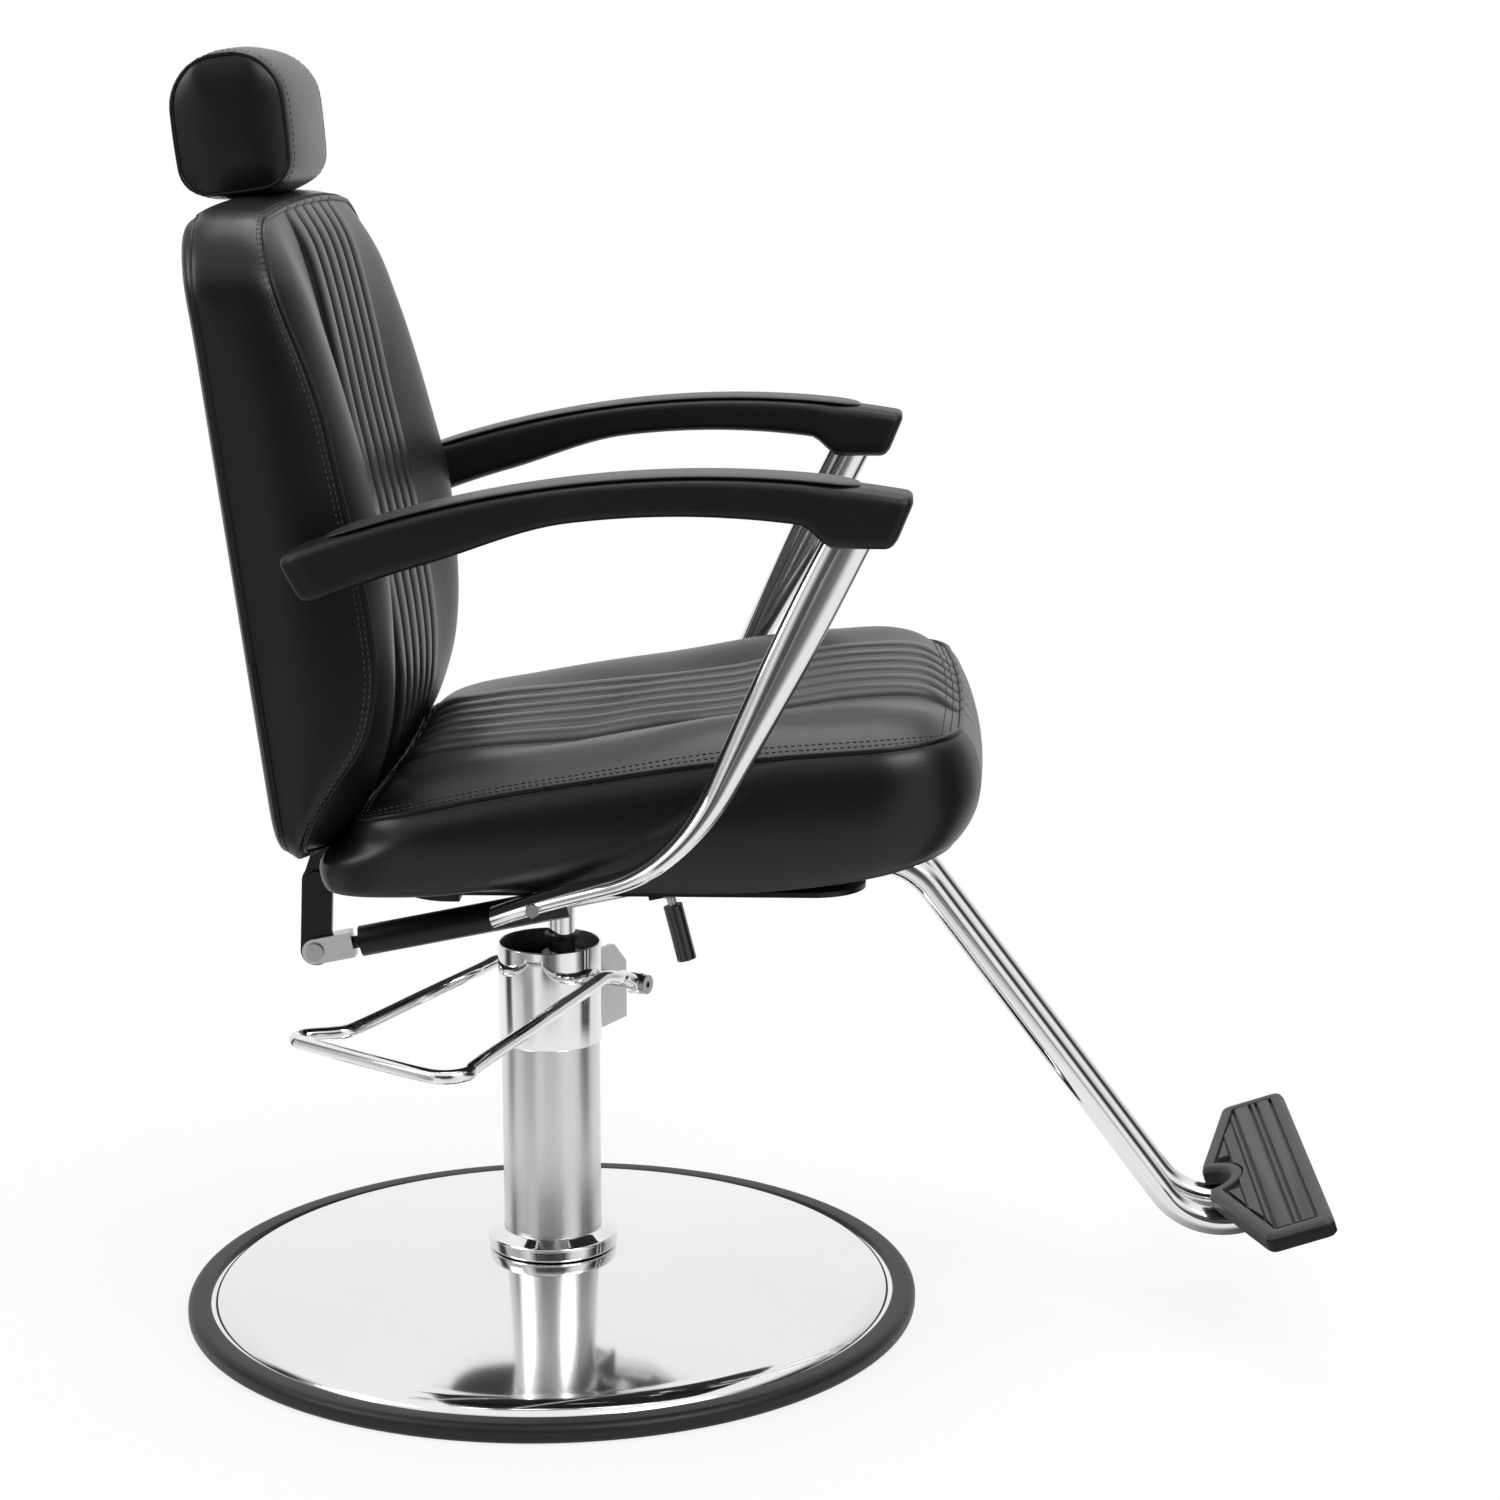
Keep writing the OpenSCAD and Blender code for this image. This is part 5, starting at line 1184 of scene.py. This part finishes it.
def mixed(tree, share, a, b):
    n = add(tree, "ShaderNodeMix", data_type="RGBA")
    tree.links.new(share, n.inputs["Factor"])
    for socket, value in ((n.inputs["A"], a), (n.inputs["B"], b)):
        if isinstance(value, tuple):
            socket.default_value = value
        else:
            tree.links.new(value, socket)
    return n.outputs["Result"]


def white_stage():
    """Floor and world: white to the camera, studio greys to bright metal, and a soft shadow."""
    mesh = bpy.data.meshes.new("floor")
    half = 14.0
    mesh.from_pydata([(-half, -half, 0), (half, -half, 0), (half, half, 0), (-half, half, 0)], [], [(0, 1, 2, 3)])
    floor = bpy.data.objects.new("floor", mesh)
    floor.location.z = -0.0005
    scene.collection.objects.link(floor)
    m = bpy.data.materials.new("floor_white")
    m.use_nodes = True
    t = m.node_tree
    shader = t.nodes["Principled BSDF"]
    shader.inputs["Base Color"].default_value = (0.9, 0.9, 0.9, 1)
    shader.inputs["Roughness"].default_value = 0.9
    shader.inputs["Specular IOR Level"].default_value = 0.0
    place = add(t, "ShaderNodeTexCoord")
    xyz = add(t, "ShaderNodeSeparateXYZ")
    far = add(t, "ShaderNodeVectorMath", operation="LENGTH")
    wire(t, place, "Object", xyz, "Vector")
    wire(t, place, "Object", far, 0)
    reach = far.outputs["Value"]
    x, y = xyz.outputs["X"], xyz.outputs["Y"]
    tone = mixed(t, smooth_range(t, reach, 0.8, 2.0, 0, 1), tones_around(t, x, y, NEAR_TONES),
                 tones_around(t, x, y, FAR_TONES))
    tone = mixed(t, smooth_range(t, reach, 0.35, 0.60, 0, 1), WHITE, tone)
    glow = add(t, "ShaderNodeEmission")
    path = add(t, "ShaderNodeLightPath")
    t.links.new(mixed(t, path.outputs["Is Glossy Ray"], WHITE, tone), glow.inputs["Color"])
    seen = calc(t, "MAXIMUM", calc(t, "MAXIMUM", path.outputs["Is Camera Ray"], path.outputs["Is Glossy Ray"]),
                path.outputs["Is Transmission Ray"])
    mix = add(t, "ShaderNodeMixShader")
    t.links.new(calc(t, "MULTIPLY", seen, smooth_range(t, reach, 0.30, 0.95, 0.82, 1.0)), mix.inputs[0])
    wire(t, shader, 0, mix, 1)
    wire(t, glow, 0, mix, 2)
    t.links.new(mix.outputs[0], t.nodes["Material Output"].inputs["Surface"])
    mesh.materials.append(m)

    world = bpy.data.worlds.new("studio")
    scene.world = world
    world.use_nodes = True
    w = world.node_tree
    w.nodes.clear()
    place = add(w, "ShaderNodeTexCoord")
    xyz = add(w, "ShaderNodeSeparateXYZ")
    wire(w, place, "Generated", xyz, "Vector")
    walls = tones_around(w, xyz.outputs["X"], xyz.outputs["Y"], ROOM_TONES)
    roof = mixed(w, smooth_range(w, xyz.outputs["Z"], 0.45, 0.75, 0, 1), walls, WHITE)
    room = add(w, "ShaderNodeBackground")
    room.inputs["Strength"].default_value = 1.0
    w.links.new(roof, room.inputs["Color"])
    soft = add(w, "ShaderNodeBackground")
    soft.inputs["Color"].default_value = WHITE
    soft.inputs["Strength"].default_value = 0.40
    plain = add(w, "ShaderNodeBackground")
    plain.inputs["Color"].default_value = WHITE
    path = add(w, "ShaderNodeLightPath")
    mix = add(w, "ShaderNodeMixShader")
    seen = calc(w, "MAXIMUM", path.outputs["Is Camera Ray"], path.outputs["Is Transmission Ray"])
    out = add(w, "ShaderNodeOutputWorld")
    w.links.new(seen, mix.inputs[0])
    lit = add(w, "ShaderNodeMixShader")
    wire(w, path, "Is Glossy Ray", lit, 0)
    wire(w, soft, 0, lit, 1)
    wire(w, room, 0, lit, 2)
    wire(w, lit, 0, mix, 1)
    wire(w, plain, 0, mix, 2)
    wire(w, mix, 0, out, "Surface")


def lamp(name, at, aim, size, power_w):
    light = bpy.data.lights.new(name, "AREA")
    light.shape = "RECTANGLE"
    light.size, light.size_y = size
    light.energy = power_w
    obj = bpy.data.objects.new(name, light)
    scene.collection.objects.link(obj)
    obj.location = at
    d = np.array(aim) - np.array(at)
    obj.rotation_euler = (math.acos(-d[2] / np.linalg.norm(d)), 0, math.atan2(d[0], -d[1]) + math.pi)


white_stage()
lamp("key_box", (-1.6, -1.6, 2.4), (0, -0.1, 0.6), (1.6, 1.2), 42)
lamp("rear_box", (-0.9, 2.2, 2.0), (0, 0.0, 0.6), (1.2, 1.4), 26)
lamp("top_box", (0.5, -0.2, 2.8), (0, -0.1, 0.5), (1.8, 1.8), 34)

FOCAL_PX, PHOTO_PX, SENSOR, LOOKS_DOWN = 3216.0, 1500.0, 36.0, 11.75
cam = bpy.data.cameras.new("photo_camera")
cam.sensor_width = SENSOR
cam.lens = FOCAL_PX / PHOTO_PX * SENSOR
cam_obj = bpy.data.objects.new("photo_camera", cam)
scene.collection.objects.link(cam_obj)
cam_obj.location = (-2.5212, -0.2468, 0.990)
cam_obj.rotation_euler = (math.radians(90 - LOOKS_DOWN), 0, math.atan2(-0.9785, 0.0325))
scene.camera = cam_obj
scene.view_settings.view_transform = "Standard"
